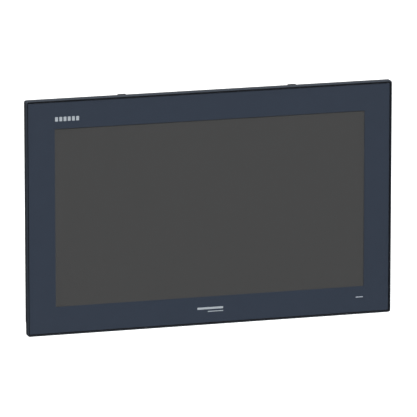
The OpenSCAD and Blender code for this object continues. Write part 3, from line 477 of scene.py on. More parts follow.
def smooth_by_angle():
    """A node group for a modifier: smooth faces, with sharp edges past an angle."""
    group = bpy.data.node_groups.new("smooth_by_angle", "GeometryNodeTree")
    for way in ("INPUT", "OUTPUT"):
        group.interface.new_socket("Geometry", in_out=way, socket_type="NodeSocketGeometry")
    source, result, faces, edges, angle, sharp = (group.nodes.new(kind) for kind in (
        "NodeGroupInput", "NodeGroupOutput", "GeometryNodeSetShadeSmooth", "GeometryNodeSetShadeSmooth",
        "GeometryNodeInputMeshEdgeAngle", "FunctionNodeCompare",
    ))
    faces.domain = "FACE"
    edges.domain = "EDGE"
    edges.inputs["Shade Smooth"].default_value = False
    sharp.operation = "GREATER_THAN"
    sharp.inputs[1].default_value = SMOOTH_UP_TO
    for output, target in (
        (source.outputs[0], faces.inputs["Geometry"]),
        (faces.outputs[0], edges.inputs["Geometry"]),
        (angle.outputs["Unsigned Angle"], sharp.inputs[0]),
        (sharp.outputs[0], edges.inputs["Selection"]),
        (edges.outputs[0], result.inputs[0]),
    ):
        group.links.new(output, target)
    return group


def soften(thing, width_mm, group):
    """Joins split corners, merges flat triangles and rounds the edges, all as modifiers."""
    weld = thing.modifiers.new("weld", "WELD")
    weld.merge_threshold = WELD_REACH
    if width_mm:
        flat = thing.modifiers.new("flat", "DECIMATE")
        flat.decimate_type = "DISSOLVE"
        flat.angle_limit = FLAT_WITHIN
        bevel = thing.modifiers.new("bevel", "BEVEL")
        bevel.width = width_mm * MM
        bevel.segments = 2
        bevel.limit_method = "ANGLE"
        bevel.angle_limit = BEVEL_FROM
    smooth = thing.modifiers.new("smooth", "NODES")
    smooth.node_group = group
    weigh_normals(thing)


def weigh_normals(thing):
    """Keeps large flat faces flat to the eye where they meet a narrow rounding."""
    weighted = thing.modifiers.new("weighted", "WEIGHTED_NORMAL")
    weighted.keep_sharp = True


def dress_cad_nodes(group):
    for name, (look, width) in CAD_LOOKS.items():
        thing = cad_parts[name]
        thing.data.materials.clear()
        thing.data.materials.append(materials[look])
        soften(thing, width, group)


# ---------------------------------------------------------------- places and outlines


def box_mm(node):
    """A CAD node's lowest and highest corners, in millimetres."""
    low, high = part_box(node)
    return low / MM, high / MM


def islands(node):
    """The box of each separate solid in a CAD node, in millimetres, from left to right."""
    work = bmesh.new()
    work.from_mesh(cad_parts[node].data)
    bmesh.ops.remove_doubles(work, verts=work.verts, dist=WELD_REACH)
    seen, found = set(), []
    for start in work.verts:
        if start in seen:
            continue
        seen.add(start)
        group = [start]
        for vert in group:
            for edge in vert.link_edges:
                other = edge.other_vert(vert)
                if other not in seen:
                    seen.add(other)
                    group.append(other)
        found.append(tuple(
            Vector([end(v.co[axis] for v in group) for axis in range(3)]) / MM for end in (min, max)
        ))
    work.free()
    return sorted(found, key=lambda pair: tuple(round(c, 2) for c in pair[0]))


def middle(low, high, axes="xz"):
    """The middle of a box in two of its axes."""
    return tuple((getattr(low, axis) + getattr(high, axis)) / 2 for axis in axes)


def spaced(count, step, centre=0.0):
    """Evenly spaced places round a centre, the lowest first."""
    return [centre + (i - (count - 1) / 2) * step for i in range(count)]


def shifted(points, spot):
    return [(spot[0] + a, spot[1] + b) for a, b in points]


def raised(point, depth, axis):
    """A point of a plane, put at a depth along the axis that the plane is square to."""
    a, b = point
    return {"x": (depth, a, b), "y": (a, depth, b), "z": (a, b, depth)}[axis]


def ring_at(points, depth, axis="y"):
    return [raised(p, depth, axis) for p in points]


def polar(radius_at, centre, sides):
    """A loop whose radius follows the angle."""
    turns = [math.tau * i / sides for i in range(sides)]
    return [
        (centre[0] + radius_at(t) * math.cos(t), centre[1] + radius_at(t) * math.sin(t)) for t in turns
    ]


def circle(radius, centre=(0, 0), sides=24):
    return polar(lambda turn: radius, centre, sides)


def folded(turn, fold):
    """An angle from the middle of the sector that it is in."""
    return (turn + fold / 2) % fold - fold / 2


def hexagon(apothem, cap, centre):
    """A hexagon whose corners are cut back to a circle."""
    return polar(lambda t: min(apothem / math.cos(folded(t, math.pi / 3)), cap), centre, 48)


def cross(reach, half, centre):
    """The outline of a cross recess."""
    return polar(lambda t: min(reach, half / max(abs(math.sin(folded(t, math.pi / 2))), 0.01)), centre, 24)


def rounded_loop(width, height, radius, centre=(0, 0), steps=5):
    """A rectangle with round corners, as points of a plane, anticlockwise."""
    points = []
    for i, (a, b) in enumerate(((1, 1), (-1, 1), (-1, -1), (1, -1))):
        for k in range(steps + 1):
            turn = math.radians(90 * (i + k / steps))
            points.append((
                centre[0] + a * (width / 2 - radius) + radius * math.cos(turn),
                centre[1] + b * (height / 2 - radius) + radius * math.sin(turn),
            ))
    return points


def rounded_box(low, high, less, radius, axes="xz"):
    """A CAD box's outline with round corners, smaller by an amount in width and in height."""
    width, height = (getattr(high, axis) - getattr(low, axis) - less for axis in axes)
    return rounded_loop(width, height, radius, middle(low, high, axes))


def rounded_polygon(points, radius, steps=3):
    """A polygon with its corners rounded."""
    corners = [Vector(p) for p in points]
    around = []
    for i, here in enumerate(corners):
        before = (corners[i - 1] - here).normalized()
        after = (corners[(i + 1) % len(corners)] - here).normalized()
        reach = radius / math.tan(before.angle(after) / 2)
        start, end = here + before * reach, here + after * reach
        for k in range(steps + 1):
            t = k / steps
            around.append(tuple(start * (1 - t) ** 2 + here * 2 * t * (1 - t) + end * t * t))
    return around


# ---------------------------------------------------------------- building shapes


class Shape:
    """A piece of one or more closed solids while it is built, in millimetres, in the CAD's frame."""

    def __init__(self, look):
        self.mesh = bmesh.new()
        self.looks = []
        self.paint(look)
        self.turn = Matrix.Identity(4)

    def paint(self, look):
        """The solids that are added from here on take this material."""
        if look not in self.looks:
            self.looks.append(look)
        self.look = self.looks.index(look)

    def add(self, part, bevel=0.0):
        """Takes in a finished solid, with its sharp edges rounded."""
        if bevel:
            sharp = [e for e in part.edges if e.is_manifold and e.calc_face_angle() > SHARP]
            bmesh.ops.bevel(
                part, geom=sharp, offset=bevel, segments=2, profile=0.5, affect="EDGES", clamp_overlap=True
            )
        bmesh.ops.recalc_face_normals(part, faces=part.faces)
        bmesh.ops.transform(part, matrix=self.turn, verts=part.verts)
        for face in part.faces:
            face.material_index = self.look
            face.smooth = True
        carried = bpy.data.meshes.new("carried")
        part.to_mesh(carried)
        part.free()
        self.mesh.from_mesh(carried)
        bpy.data.meshes.remove(carried)

    def loft(self, loops, ring=False):
        """A solid through loops of points: closed by its two ends, or round in a ring."""
        part = bmesh.new()
        rows = [[part.verts.new(p) for p in loop] for loop in loops]
        if ring:
            rows.append(rows[0])
        else:
            part.faces.new(rows[0])
            part.faces.new(rows[-1])
        for a, b in zip(rows, rows[1:]):
            for i in range(len(a)):
                part.faces.new((a[i - 1], a[i], b[i], b[i - 1]))
        self.add(part)

    def prism(self, outline, low, high, axis="z", holes=(), bevel=0.0):
        """An outline pushed from one depth to another along an axis, with any holes right through it."""
        part = bmesh.new()
        edges = []
        for ring in (outline, *holes):
            verts = [part.verts.new(raised(p, low, axis)) for p in ring]
            edges += [part.edges.new((verts[i - 1], verts[i])) for i in range(len(verts))]
            if not holes:
                part.faces.new(verts)
        if holes:
            bmesh.ops.triangle_fill(part, edges=edges, use_beauty=True)
        grown = bmesh.ops.extrude_face_region(part, geom=part.faces[:])
        moved = [g for g in grown["geom"] if isinstance(g, bmesh.types.BMVert)]
        bmesh.ops.translate(part, verts=moved, vec=raised((0, 0), high - low, axis))
        self.add(part, bevel)

    def box(self, low, high, bevel=0.0):
        (x0, y0, z0), (x1, y1, z1) = low, high
        self.prism([(x0, y0), (x1, y0), (x1, y1), (x0, y1)], z0, z1, bevel=bevel)

    def block(self, spot, half, low, high, axis="y", bevel=0.0):
        """A box that reaches as far to both sides of a spot, from one depth to another along an axis."""
        near, far = ([s + way * h for s, h in zip(spot, half)] for way in (-1, 1))
        self.box(raised(near, low, axis), raised(far, high, axis), bevel)

    def turned(self, profile, centre, axis="y", sides=24):
        """A turned solid from (radius, depth) pairs."""
        self.loft([ring_at(circle(radius, centre, sides), depth, axis) for radius, depth in profile])

    def thread(self, centre, radius, low, high, pitch, depth, axis="y", sides=12):
        """A round bar with a screw thread cut in it, five rows of points to a turn."""
        rows = round((high - low) / pitch * 5)
        loops = []
        for row in range(rows + 1):
            at = low + (high - low) * row / rows
            fade = min(1.0, (at - low) / pitch, (high - at) / pitch)

            def radius_at(turn):
                phase = (at / pitch - turn / math.tau) % 1
                return radius - depth * (1 - fade * (1 - abs(2 * phase - 1)))

            loops.append(ring_at(polar(radius_at, centre, sides), at, axis))
        self.loft(loops)

    def piece(self, name, slot, *replaced, body=ROOT):
        """Makes the finished object, which rides on a CAD body and may stand for CAD nodes."""
        mesh = bpy.data.meshes.new(name)
        bmesh.ops.scale(self.mesh, vec=(MM, MM, MM), verts=self.mesh.verts)
        self.mesh.to_mesh(mesh)
        self.mesh.free()
        for look in self.looks:
            mesh.materials.append(materials[look])
        mesh.set_sharp_from_angle(angle=SMOOTH_UP_TO)
        thing = in_scene(name, mesh)
        weigh_normals(thing)
        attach(thing, body)
        if replaced:
            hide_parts(*replaced)
        return thing


# ---------------------------------------------------------------- the front


def inset_loops(node, radius, profile):
    """Loops round a CAD node's outline, each with its inset from that outline and its depth."""
    low, high = box_mm(node)
    return [
        ring_at(rounded_box(low, high, 2 * inset, max(radius - inset, 0.3)), depth)
        for inset, depth in profile
    ]


def cover_glass():
    """One sheet with ground and polished edges, just clear of the print on its back."""
    low, high = box_mm("cover_glass")
    clear = 0.02
    edge = [(0.6, 0), (0.3, 0.06), (0.09, 0.2), (0, 0.45)]
    front = [(inset, low.y + step) for inset, step in edge]
    back = [(inset, high.y - clear - step) for inset, step in reversed(edge)]
    shape = Shape("glass")
    shape.loft(inset_loops("cover_glass", 1.5, front + back))
    shape.piece("glass_sheet", "cover_glass", "cover_glass")


def glass_seal():
    """The bead between rim and glass, tooled to a hollow."""
    low, high = box_mm("glass_seal")
    profile = [
        (0.03, high.y), (0.03, low.y), (0.2, low.y + 0.25), (0.5, low.y + 0.6), (0.75, low.y + 0.7),
        (1.0, low.y + 0.6), (1.3, low.y + 0.25), (1.47, low.y), (1.47, high.y),
    ]
    shape = Shape("seal")
    shape.loft(inset_loops("glass_seal", 2.3, profile), ring=True)
    shape.piece("seal_bead", "seal_black", "glass_seal")


def sensor_sheet():
    """The touch film, a hair clear of the print in front of it and the cushion behind it."""
    low, high = box_mm("touch_sensor")
    clear = 0.03
    shape = Shape("sensor")
    shape.loft(inset_loops("touch_sensor", 2, [(0, low.y + clear), (0, high.y - clear)]))
    shape.piece("touch_film", "sensor_film", "touch_sensor")


def door_gasket():
    """The bezel's seal against the door: a soft bead with a rounded back in its groove."""
    low, high = box_mm("panel_gasket")
    profile = [
        (0.05, low.y), (0.05, high.y - 0.7), (0.35, high.y - 0.25), (1.1, high.y - 0.04), (2, high.y),
        (2.9, high.y - 0.04), (3.65, high.y - 0.25), (3.95, high.y - 0.7), (3.95, low.y),
    ]
    shape = Shape("gasket")
    shape.loft(inset_loops("panel_gasket", 6, profile), ring=True)
    shape.piece("gasket_bead", "gasket_rubber", "panel_gasket")


# ---------------------------------------------------------------- screws and nuts

HEAD_RADIUS = 2.8
HEAD_HEIGHT = 1.9
SHANK_RADIUS = 1.45
SCREW_PITCH = 0.5


def add_nut(shape, centre, apothem, low, high, bore, axis="y"):
    """A hexagon nut with broken corners and a countersunk bore."""
    chamfer = 0.12 * (high - low)
    sink = 0.25
    outside = [(apothem, low), (2 * apothem, low + chamfer), (2 * apothem, high - chamfer), (apothem, high)]
    inside = [(bore + sink, high), (bore, high - sink), (bore, low + sink), (bore + sink, low)]
    loops = [ring_at(hexagon(apothem, cap, centre), depth, axis) for cap, depth in outside]
    loops += [ring_at(circle(radius, centre, 48), depth, axis) for radius, depth in inside]
    shape.loft(loops, ring=True)


def add_pan_screw(shape, low, high):
    """A pan-head screw along Y, with a domed head, a cross recess and a threaded shank."""
    centre = middle(low, high)
    seat = high.y - HEAD_HEIGHT
    shape.thread(centre, SHANK_RADIUS, low.y, seat + 0.1, SCREW_PITCH, 0.22)
    dome = [(0.94, 0), (1, 0.12), (1, 0.4), (0.96, 0.62), (0.87, 0.8), (0.74, 0.92), (0.62, 0.98)]
    loops = [ring_at(circle(HEAD_RADIUS * r, centre), seat + HEAD_HEIGHT * h) for r, h in dome]
    loops.append(ring_at(cross(0.56 * HEAD_RADIUS, 0.15 * HEAD_RADIUS, centre), high.y))
    loops.append(ring_at(cross(0.4 * HEAD_RADIUS, 0.09 * HEAD_RADIUS, centre), high.y - 1.1))
    shape.loft(loops)


def screw_set(name, node, look, slot):
    shape = Shape(look)
    for low, high in islands(node):
        add_pan_screw(shape, low, high)
    shape.piece(name, slot, node)


# ---------------------------------------------------------------- the connector bay


def network_sockets():
    """Two sheet-metal shells round black inserts with a keyhole mouth, eight springs and two lights."""
    shape = Shape("shell")
    mouth = [(-5.9, 2.6), (-3.1, 2.6), (-3.1, 1), (3.1, 1), (3.1, 2.6), (5.9, 2.6), (5.9, 9.6), (-5.9, 9.6)]
    spring = [(9.5, 2.2), (9.2, 2.2), (7.1, 8.8), (7.1, 13.2), (7.35, 13.2), (7.35, 8.9), (9.5, 2.6)]
    pitch, half_wire, depth = 1.14, 0.22, 13.2
    for low, high in islands("ethernet_jacks"):
        x, y, z = (low.x + high.x) / 2, low.y, low.z
        outer = rounded_box(low, high, 0, 0.8, "xy")
        inner = rounded_box(low, high, 0.96, 0.4, "xy")
        shape.paint("shell")
        shape.prism(outer, z, high.z, holes=[rounded_box(low, high, 1, 0.4, "xy")], bevel=0.08)
        shape.paint("black")
        shape.prism(inner, z + 0.3, z + depth, holes=[shifted(mouth, (x, y))], bevel=0.12)
        shape.prism(inner, z + depth, high.z - 0.3)
        shape.paint("gold")
        for at in spaced(8, pitch, x):
            shape.prism(shifted(spring, (y, z)), at - half_wire, at + half_wire, axis="x")
        for side, look in ((-1, "lamp_green"), (1, "lamp_amber")):
            shape.paint(look)
            light = rounded_loop(2.6, 1.6, 0.3, (x + side * 6.1, y + 11.6))
            shape.prism(light, z + 0.12, z + 1.6, bevel=0.08)
    shape.piece("network_sockets", "port_shell", "ethernet_jacks")


def usb_sockets():
    """Two stacks of two, each mouth with its tongue, four contacts and four spring dents."""
    shape = Shape("shell")
    depth, mouth_w, mouth_h = 11.0, 12.2, 5.2
    for low, high in islands("usb_ports"):
        x, z = (low.x + high.x) / 2, low.z
        outer = rounded_box(low, high, 0, 0.7, "xy")
        decks = [low.y + step for step in (1.3, 9.0)]
        mouths = [rounded_loop(mouth_w, mouth_h, 0.35, (x, deck + mouth_h / 2)) for deck in decks]
        shape.paint("shell")
        shape.prism(outer, z, z + depth, holes=mouths, bevel=0.1)
        shape.prism(outer, z + depth, high.z, bevel=0.1)
        for deck in decks:
            shape.paint("shell")
            for at in spaced(2, 6.4, x):
                for face, way in ((deck, 1), (deck + mouth_h, -1)):
                    dent = [(face + way * a, z + b) for a, b in ((-0.1, 1.5), (0.35, 4), (-0.1, 5))]
                    shape.prism(dent, at - 0.9, at + 0.9, axis="x")
            shape.paint("black")
            shape.block((x, deck + 3.9), (5.4, 0.9), z + 1, z + depth + 0.1, "z", 0.15)
            shape.paint("gold")
            for at in spaced(4, 2.4, x):
                shape.block((at, deck + 3), (0.55, 0.1), z + 1.7, z + 9, "z")
    shape.piece("usb_sockets", "port_shell", "usb_ports")


def d_outline(centre, grow):
    """A nine-way D, as wide as its shell."""
    half, short, long = 4.1 + grow, 6.8 + grow, 8.2 + grow
    points = [(-short, -half), (short, -half), (long, half), (-long, half)]
    return rounded_polygon(shifted(points, centre), 1.4 + grow, steps=5)


def serial_socket():
    """A nine-pin D: flange, drawn shell, black insert, gold pins and two hexagonal posts."""
    low, high = box_mm("serial_port")
    centre = middle(low, high, "xy")
    # The wall that the sockets stand in, which is where the switch's flange ends
    seat = box_mm("switch_frame")[0].z + 1.6
    plate, tip = seat - 1, low.z + 1
    posts = shifted([(-12.5, 0), (12.5, 0)], centre)
    shape = Shape("shell")
    holes = [d_outline(centre, -0.5)] + [circle(1.5, spot) for spot in posts]
    shape.prism(rounded_box(low, high, 0, 1.5, "xy"), plate, seat, holes=holes, bevel=0.1)
    shape.prism(d_outline(centre, 0.2), low.z, plate + 0.1, holes=[d_outline(centre, -0.45)], bevel=0.12)
    shape.paint("black")
    shape.prism(d_outline(centre, -0.48), seat - 2.6, seat, bevel=0.15)
    shape.block(centre, (9.5, 4.9), seat - 0.4, high.z, "z", 0.3)
    shape.paint("gold")
    pin = [(0.2, tip), (0.42, tip + 0.2), (0.5, tip + 0.6), (0.5, seat - 1)]
    for count, row in ((5, 1.4), (4, -1.4)):
        for x in spaced(count, 2.76, centre[0]):
            shape.turned(pin, (x, centre[1] + row), "z", 12)
    shape.paint("steel")
    for spot in posts:
        add_nut(shape, spot, 2.35, low.z, plate, 1.2, axis="z")
        shape.thread(spot, SHANK_RADIUS, plate - 0.1, seat + 3, SCREW_PITCH, 0.2, axis="z")
    shape.piece("serial_socket", "port_shell", "serial_port")


def video_socket():
    """A shell with one cut corner round a tongue with contacts on both faces."""
    low, high = box_mm("video_port")
    x, mid = (low.x + high.x) / 2, low.y + 3.4
    depth = low.z + 9
    outer = rounded_box(low, high, 0, 0.7, "xy")
    cut = [(-8, 2.5), (-8, -2.5), (6.4, -2.5), (8, -0.9), (8, 2.5)]
    shape = Shape("shell")
    shape.prism(outer, low.z, depth, holes=[rounded_polygon(shifted(cut, (x, mid)), 0.4)], bevel=0.1)
    shape.prism(outer, depth, high.z, bevel=0.1)
    shape.paint("black")
    shape.block((x, mid), (6.4, 0.65), low.z + 1, depth + 0.1, "z", 0.12)
    shape.paint("gold")
    for at in spaced(10, 1.15, x):
        for face in (-0.63, 0.63):
            shape.block((at, mid + face), (0.28, 0.05), low.z + 1.5, depth - 0.5, "z")
    shape.piece("video_socket", "port_shell", "video_port")


def plug_clamps():
    """The steel cage that each of the plug's screws pulls up on its wire."""
    plug = box_mm("power_plug")[0]
    shape = Shape("steel")
    for i in (1, 2, 3):
        spot = (middle(*box_mm(f"plug_screw_{i}"))[0], plug.y + 5.5)
        cage, hole = rounded_loop(3.2, 4.8, 0.3, spot), rounded_loop(2.4, 3.8, 0.2, spot)
        shape.prism(cage, plug.z + 0.7, plug.z + 4.9, holes=[hole], bevel=0.06)
    shape.piece("plug_clamps", "bright_steel", body="power_plug")


def rocker_marks():
    """The plain bar and ring of an on-off switch, printed on the rocker's two faces."""
    low, high = box_mm("switch_frame")
    pivot_deep, rest_tilt, face_wide, face_rise = 4, 10, 8.1, 1.6
    pivot = Vector((*middle(low, high, "xy"), low.z + pivot_deep))
    slope = math.atan2(face_rise, face_wide)
    shape = Shape("mark")
    at_rest = Matrix.Translation(pivot) @ Matrix.Rotation(math.radians(rest_tilt), 4, "Y")
    for side in (-1, 1):
        spot = (side * face_wide / 2, 0, -pivot_deep)
        face = Matrix.Translation(spot) @ Matrix.Rotation(side * slope, 4, "Y")
        shape.turn = at_rest @ face
        if side < 0:
            shape.prism(circle(1.5, sides=32), -0.05, 0.1, holes=[circle(1.05, sides=32)])
        else:
            shape.prism(rounded_loop(0.5, 3, 0.1), -0.05, 0.1)
    shape.piece("rocker_marks", "mark_ink", body="power_rocker")


def earth_stud():
    """A threaded brass stud with a washer and a nut."""
    low, high = box_mm("ground_stud")
    centre = middle(low, high)
    radius, pitch = 2.0, 0.7
    bore = radius - 0.2
    washer = low.y + 1.5
    nut = washer + 1
    shape = Shape("brass")
    shape.thread(centre, radius, low.y, high.y, pitch, pitch / 2, sides=24)
    shape.prism(circle(4.5, centre, 48), washer, nut, "y", [circle(bore, centre, 48)], 0.12)
    add_nut(shape, centre, 3.5, nut, nut + 3.2, bore)
    shape.piece("earth_stud", "stud_brass", "ground_stud")


def coil(low, high):
    """The loops of a spring's wire, wound closer at its two ends."""
    turns, per_turn, sides, wire = 5, 28, 10, 0.4
    centre = (low + high) / 2
    radius = (high.x - low.x) / 2 - wire
    travel = high.z - low.z - 2 * wire
    loops = []
    for step in range(turns * per_turn + 1):
        part = step / (turns * per_turn)
        turn = math.tau * turns * part
        eased = part - math.sin(math.tau * part) * 0.06
        loops.append([
            (centre.x + out * math.cos(turn), centre.y + out * math.sin(turn), rise)
            for out, rise in circle(wire, (radius, low.z + wire + travel * eased), sides)
        ])
    return loops


def hook_springs():
    """Two coil springs, one for each hook."""
    for side in ("left", "right"):
        low, high = box_mm(f"hook_spring_{side}")
        shape = Shape("spring")
        shape.loft(coil(low, high))
        thing = shape.piece(f"coil_spring_{side}", "spring_steel", f"hook_spring_{side}")
        anchor = tuple(c * MM for c in (*middle(low, high, "xy"), low.z))
        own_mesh(thing)


def plate_lines():
    """The printed frame and rules of a rating plate that is left blank."""
    low, high = box_mm("rating_plate")
    centre = middle(low, high)
    width, height = high.x - low.x, high.z - low.z
    under, over = high.y - 0.02, high.y + 0.03
    half_line = 0.12
    shape = Shape("chip")
    inside = rounded_loop(width - 4.8, height - 4.8, 0.7, centre)
    shape.prism(rounded_loop(width - 4, height - 4, 1, centre), under, over, "y", [inside])
    for z in spaced(4, (height - 4) / 5, centre[1]):
        shape.block((centre[0], z), (width / 2 - 5, half_line), under, over)
    for part in (0.3, 0.62):
        x = low.x + part * width
        shape.box((x - half_line, under, low.z + 4), (x + half_line, over, high.z - 10.5))
    shape.piece("plate_lines", "border_ink")


# ---------------------------------------------------------------- board components


def add_leads(shape, centre, half, count, pitch, turned_by):
    """A row of gull-wing leads on one side of a chip's body."""
    leg = [(-0.1, 0.75), (0.4, 0.75), (0.6, 0.15), (1, 0.15), (1, 0), (0.5, 0), (0.3, 0.6), (-0.1, 0.6)]
    half_wide = pitch * 0.22
    shape.turn = Matrix.Translation(centre) @ Matrix.Rotation(turned_by, 4, "Y")
    for at in spaced(count, pitch):
        shape.prism(shifted(leg, (half - 1, 0)), at - half_wide, at + half_wide)
    shape.turn = Matrix.Identity(4)


def add_chip(shape, low, high, pitch, sides=4):
    """A black package with leads on two or four sides and a small dimple by its first lead."""
    half_x, half_z = (high.x - low.x) / 2, (high.z - low.z) / 2
    side_in = 1.0 if sides == 4 else 0.0
    shape.paint("chip")
    shape.box((low.x + side_in, low.y + 0.12, low.z + 1), (high.x - side_in, high.y, high.z - 1), 0.12)
    shape.paint("lid")
    dimple = [(0.34, -0.1), (0.35, -0.09), (0.35, 0), (0.34, 0.01)]
    shape.turned([(r, high.y + step) for r, step in dimple], (low.x + side_in + 1, low.z + 2), sides=12)
    shape.paint("steel")
    x, z = middle(low, high)
    along_x = int((2 * half_x - 2 * side_in - 1) / pitch)
    along_z = int((2 * half_z - 3) / pitch)
    for quarter in (1, -1, 0, 2)[:sides]:
        reach, count = (half_z, along_x) if quarter % 2 else (half_x, along_z)
        add_leads(shape, (x, low.y, z), reach, count, pitch, quarter * math.pi / 2)


def add_grid_chip(shape, low, high):
    """A large chip: a small board of its own under a black cap."""
    base = low.y + 0.7
    shape.paint("board")
    shape.box(low, (high.x, base, high.z), 0.05)
    shape.paint("chip")
    shape.box((low.x + 2.5, base, low.z + 2.5), (high.x - 2.5, high.y, high.z - 2.5), 0.2)
    shape.paint("cream")
    for x in spaced(8, (high.x - low.x - 7) / 7, (low.x + high.x) / 2):
        for z in (low.z + 1.2, high.z - 1.2):
            shape.block((x, z), (0.5, 0.25), base, base + 0.4)


def add_capacitor(shape, low, high):
    """An upright electrolytic on its black foot: sleeve, crimp and scored top."""
    centre = middle(low, high)
    r, top = (high.x - low.x) / 2, high.y
    foot_top, waist = low.y + 0.9, low.y + 2.1
    wall = r - 0.25
    foot = [(-1, -1), (0.6, -1), (1, -0.6), (1, 0.6), (0.6, 1), (-1, 1)]
    shape.paint("black")
    outline = shifted([(a * r * 0.97, b * r * 0.97) for a, b in foot], centre)
    shape.prism(outline, low.y, foot_top, "y", bevel=0.1)
    shape.paint("sleeve")
    can = [
        (r - 0.5, foot_top), (wall, foot_top + 0.2), (wall, waist - 0.4), (r - 0.6, waist),
        (wall, waist + 0.4), (wall, top - 0.5), (r - 0.4, top - 0.2), (r - 0.9, top - 0.15),
    ]
    shape.turned(can, centre, sides=28)
    shape.paint("mill")
    shape.turned([(r - 1, top - 0.4), (r - 1, top - 0.1), (r - 1.15, top - 0.03)], centre, sides=28)
    shape.paint("chip")
    for half in ((0.62 * r, 0.08), (0.08, 0.62 * r)):
        shape.block(centre, half, top - 0.1, top)


def add_inductor(shape, low, high):
    """A shielded coil: an eight-sided block with a raised top and two wrapped terminals."""
    centre = middle(low, high)
    half = (high.x - low.x) / 2
    near = [(-0.6, -1), (0.6, -1), (0.97, -0.6), (0.97, 0.6)]
    corners = near + [(-a, -b) for a, b in near]
    block = rounded_polygon(shifted([(a * half, b * half) for a, b in corners], centre), 0.4)
    top = [(0.72 * half, high.y - 0.4), (0.7 * half, high.y - 0.05), (0.62 * half, high.y)]
    shape.paint("chip")
    shape.prism(block, low.y + 0.1, high.y - 0.3, "y", bevel=0.3)
    shape.turned(top, centre, sides=32)
    shape.paint("steel")
    for side in (-1, 1):
        spot = (centre[0] + side * half * 0.95, centre[1])
        shape.block(spot, (half * 0.05, 1.6), low.y, low.y + 2.2, bevel=0.08)


def add_choke(shape, low, high):
    """A ring core with its winding."""
    centre = Vector(((low.x + high.x) / 2, low.y, (low.z + high.z) / 2))
    outer, inner, tall = (high.x - low.x) / 2 - 0.8, 4.8, high.y - low.y
    heart = Vector(((outer + inner) / 2, tall / 2))
    wire, turns, around, core_sides = 0.4, 26, 6, 40
    section = rounded_loop(outer - inner, tall - 1.6, 0.9, heart, steps=3)
    shape.paint("sleeve")
    shape.loft([
        [(centre.x + r * math.cos(t), centre.y + h, centre.z + r * math.sin(t)) for r, h in section]
        for t in (math.tau * i / core_sides for i in range(core_sides))
    ], ring=True)
    # One turn of wire, as rings round points of its path
    path = rounded_loop(outer - inner + 0.7, tall - 0.9, 1.2, heart, steps=2)
    rings = []
    for spot in path:
        out = (Vector(spot) - heart).normalized()
        rings.append([(*(Vector(spot) + out * a), b) for a, b in circle(wire, sides=around)])
    shape.paint("copper")
    for i in range(turns):
        if i % (turns // 2):
            shape.turn = Matrix.Translation(centre) @ Matrix.Rotation(math.tau * i / turns, 4, "Y")
            shape.loft(rings, ring=True)
    shape.turn = Matrix.Identity(4)


def add_pin_block(shape, low, high, look, columns, rows):
    """A connector: a block with rows of pits, each with a gold pin in it."""
    centre = middle(low, high)
    width, depth = high.x - low.x, high.z - low.z
    step_x, step_z = (width - 2) / columns, (depth - 1) / rows
    spots = [(x, z) for x in spaced(columns, step_x, centre[0]) for z in spaced(rows, step_z, centre[1])]
    floor = low.y + 1
    pit = min(step_x, step_z) * 0.72
    outline = rounded_loop(width, depth, 0.3, centre, steps=2)
    shape.paint(look)
    shape.prism(outline, low.y, floor, "y")
    shape.prism(outline, floor, high.y, "y", [rounded_loop(pit, pit, 0.1, s, steps=1) for s in spots], 0.08)
    shape.paint("gold")
    for spot in spots:
        shape.block(spot, (0.3, 0.3), floor, high.y - 0.6, bevel=0.1)


def add_memory_socket(shape, low, high):
    """The slot that takes the memory module's edge, with its row of tails."""
    near, far = low.z + 1.5, high.z
    slot_low, slot_high = low.y + 1.55, low.y + 2.75
    jaws = [
        (low.y, low.z), (high.y, low.z), (high.y, far), (slot_high, far), (slot_high, near),
        (slot_low, near), (slot_low, far), (low.y, far),
    ]
    shape.paint("cream")
    shape.prism(jaws, low.x, high.x, "x", bevel=0.12)
    for x in (low.x, high.x - 0.9):
        shape.box((x, slot_low - 0.1, near - 0.1), (x + 0.9, slot_high + 0.1, far))
    shape.paint("gold")
    count, margin = 60, 3
    for x in spaced(count, (high.x - low.x - 2 * margin) / (count - 1), (low.x + high.x) / 2):
        shape.block((x, low.z - 0.25), (0.2, 0.35), low.y, low.y + 0.2)


def add_cell_holder(shape, low, high):
    """A round cup with the spring strap that bears on the cell's top."""
    centre = middle(low, high)
    r = (high.x - low.x) / 2
    cell_low, cell_high = box_mm("coin_cell")
    hole = circle((cell_high.x - cell_low.x) / 2 + 0.15, centre, 48)
    shape.paint("chip")
    shape.prism(circle(r, centre, 48), low.y, high.y, "y", [hole], 0.2)
    shape.prism(circle(r - 1, centre, 48), low.y, cell_low.y - 0.02, "y")
    top = cell_high.y
    strap = [
        (low.y, r + 0.05), (top + 0.35, r + 0.05), (top + 0.35, 2), (top + 0.02, 1.6), (top + 0.02, 2.2),
        (top + 0.1, r - 0.25), (low.y, r - 0.25),
    ]
    shape.paint("steel")
    shape.prism(shifted(strap, (0, centre[1] + 0.3)), centre[0] - 2.5, centre[0] + 2.5, "x", bevel=0.05)


def add_cooling_plate(shape, low, high):
    """A plate with a toothed top, which cools the transistors in front of it."""
    teeth, depth = 17, 3.0
    step = (high.x - low.x) / teeth
    outline = [(low.x, low.y), (high.x, low.y)]
    for i in range(teeth, 0, -1):
        x = low.x + i * step
        gap, end = x - step * 0.55, x - step if i > 1 else low.x
        outline += [(x, high.y), (gap, high.y), (gap, high.y - depth), (end, high.y - depth)]
    shape.paint("mill")
    shape.prism(outline, low.z, high.z, bevel=0.1)


def add_transistors(shape, low, high):
    """Four transistors in front of a cooling plate, each on three legs."""
    for i in range(4):
        x = low.x + 11 + i * 16
        shape.paint("chip")
        shape.box((x - 5, low.y + 2.5, high.z + 0.05), (x + 5, high.y - 1.5, high.z + 3.6), 0.3)
        shape.paint("steel")
        for leg in spaced(3, 2.54, x):
            shape.block((leg, high.z + 1.7), (0.4, 0.3), low.y, low.y + 2.6)


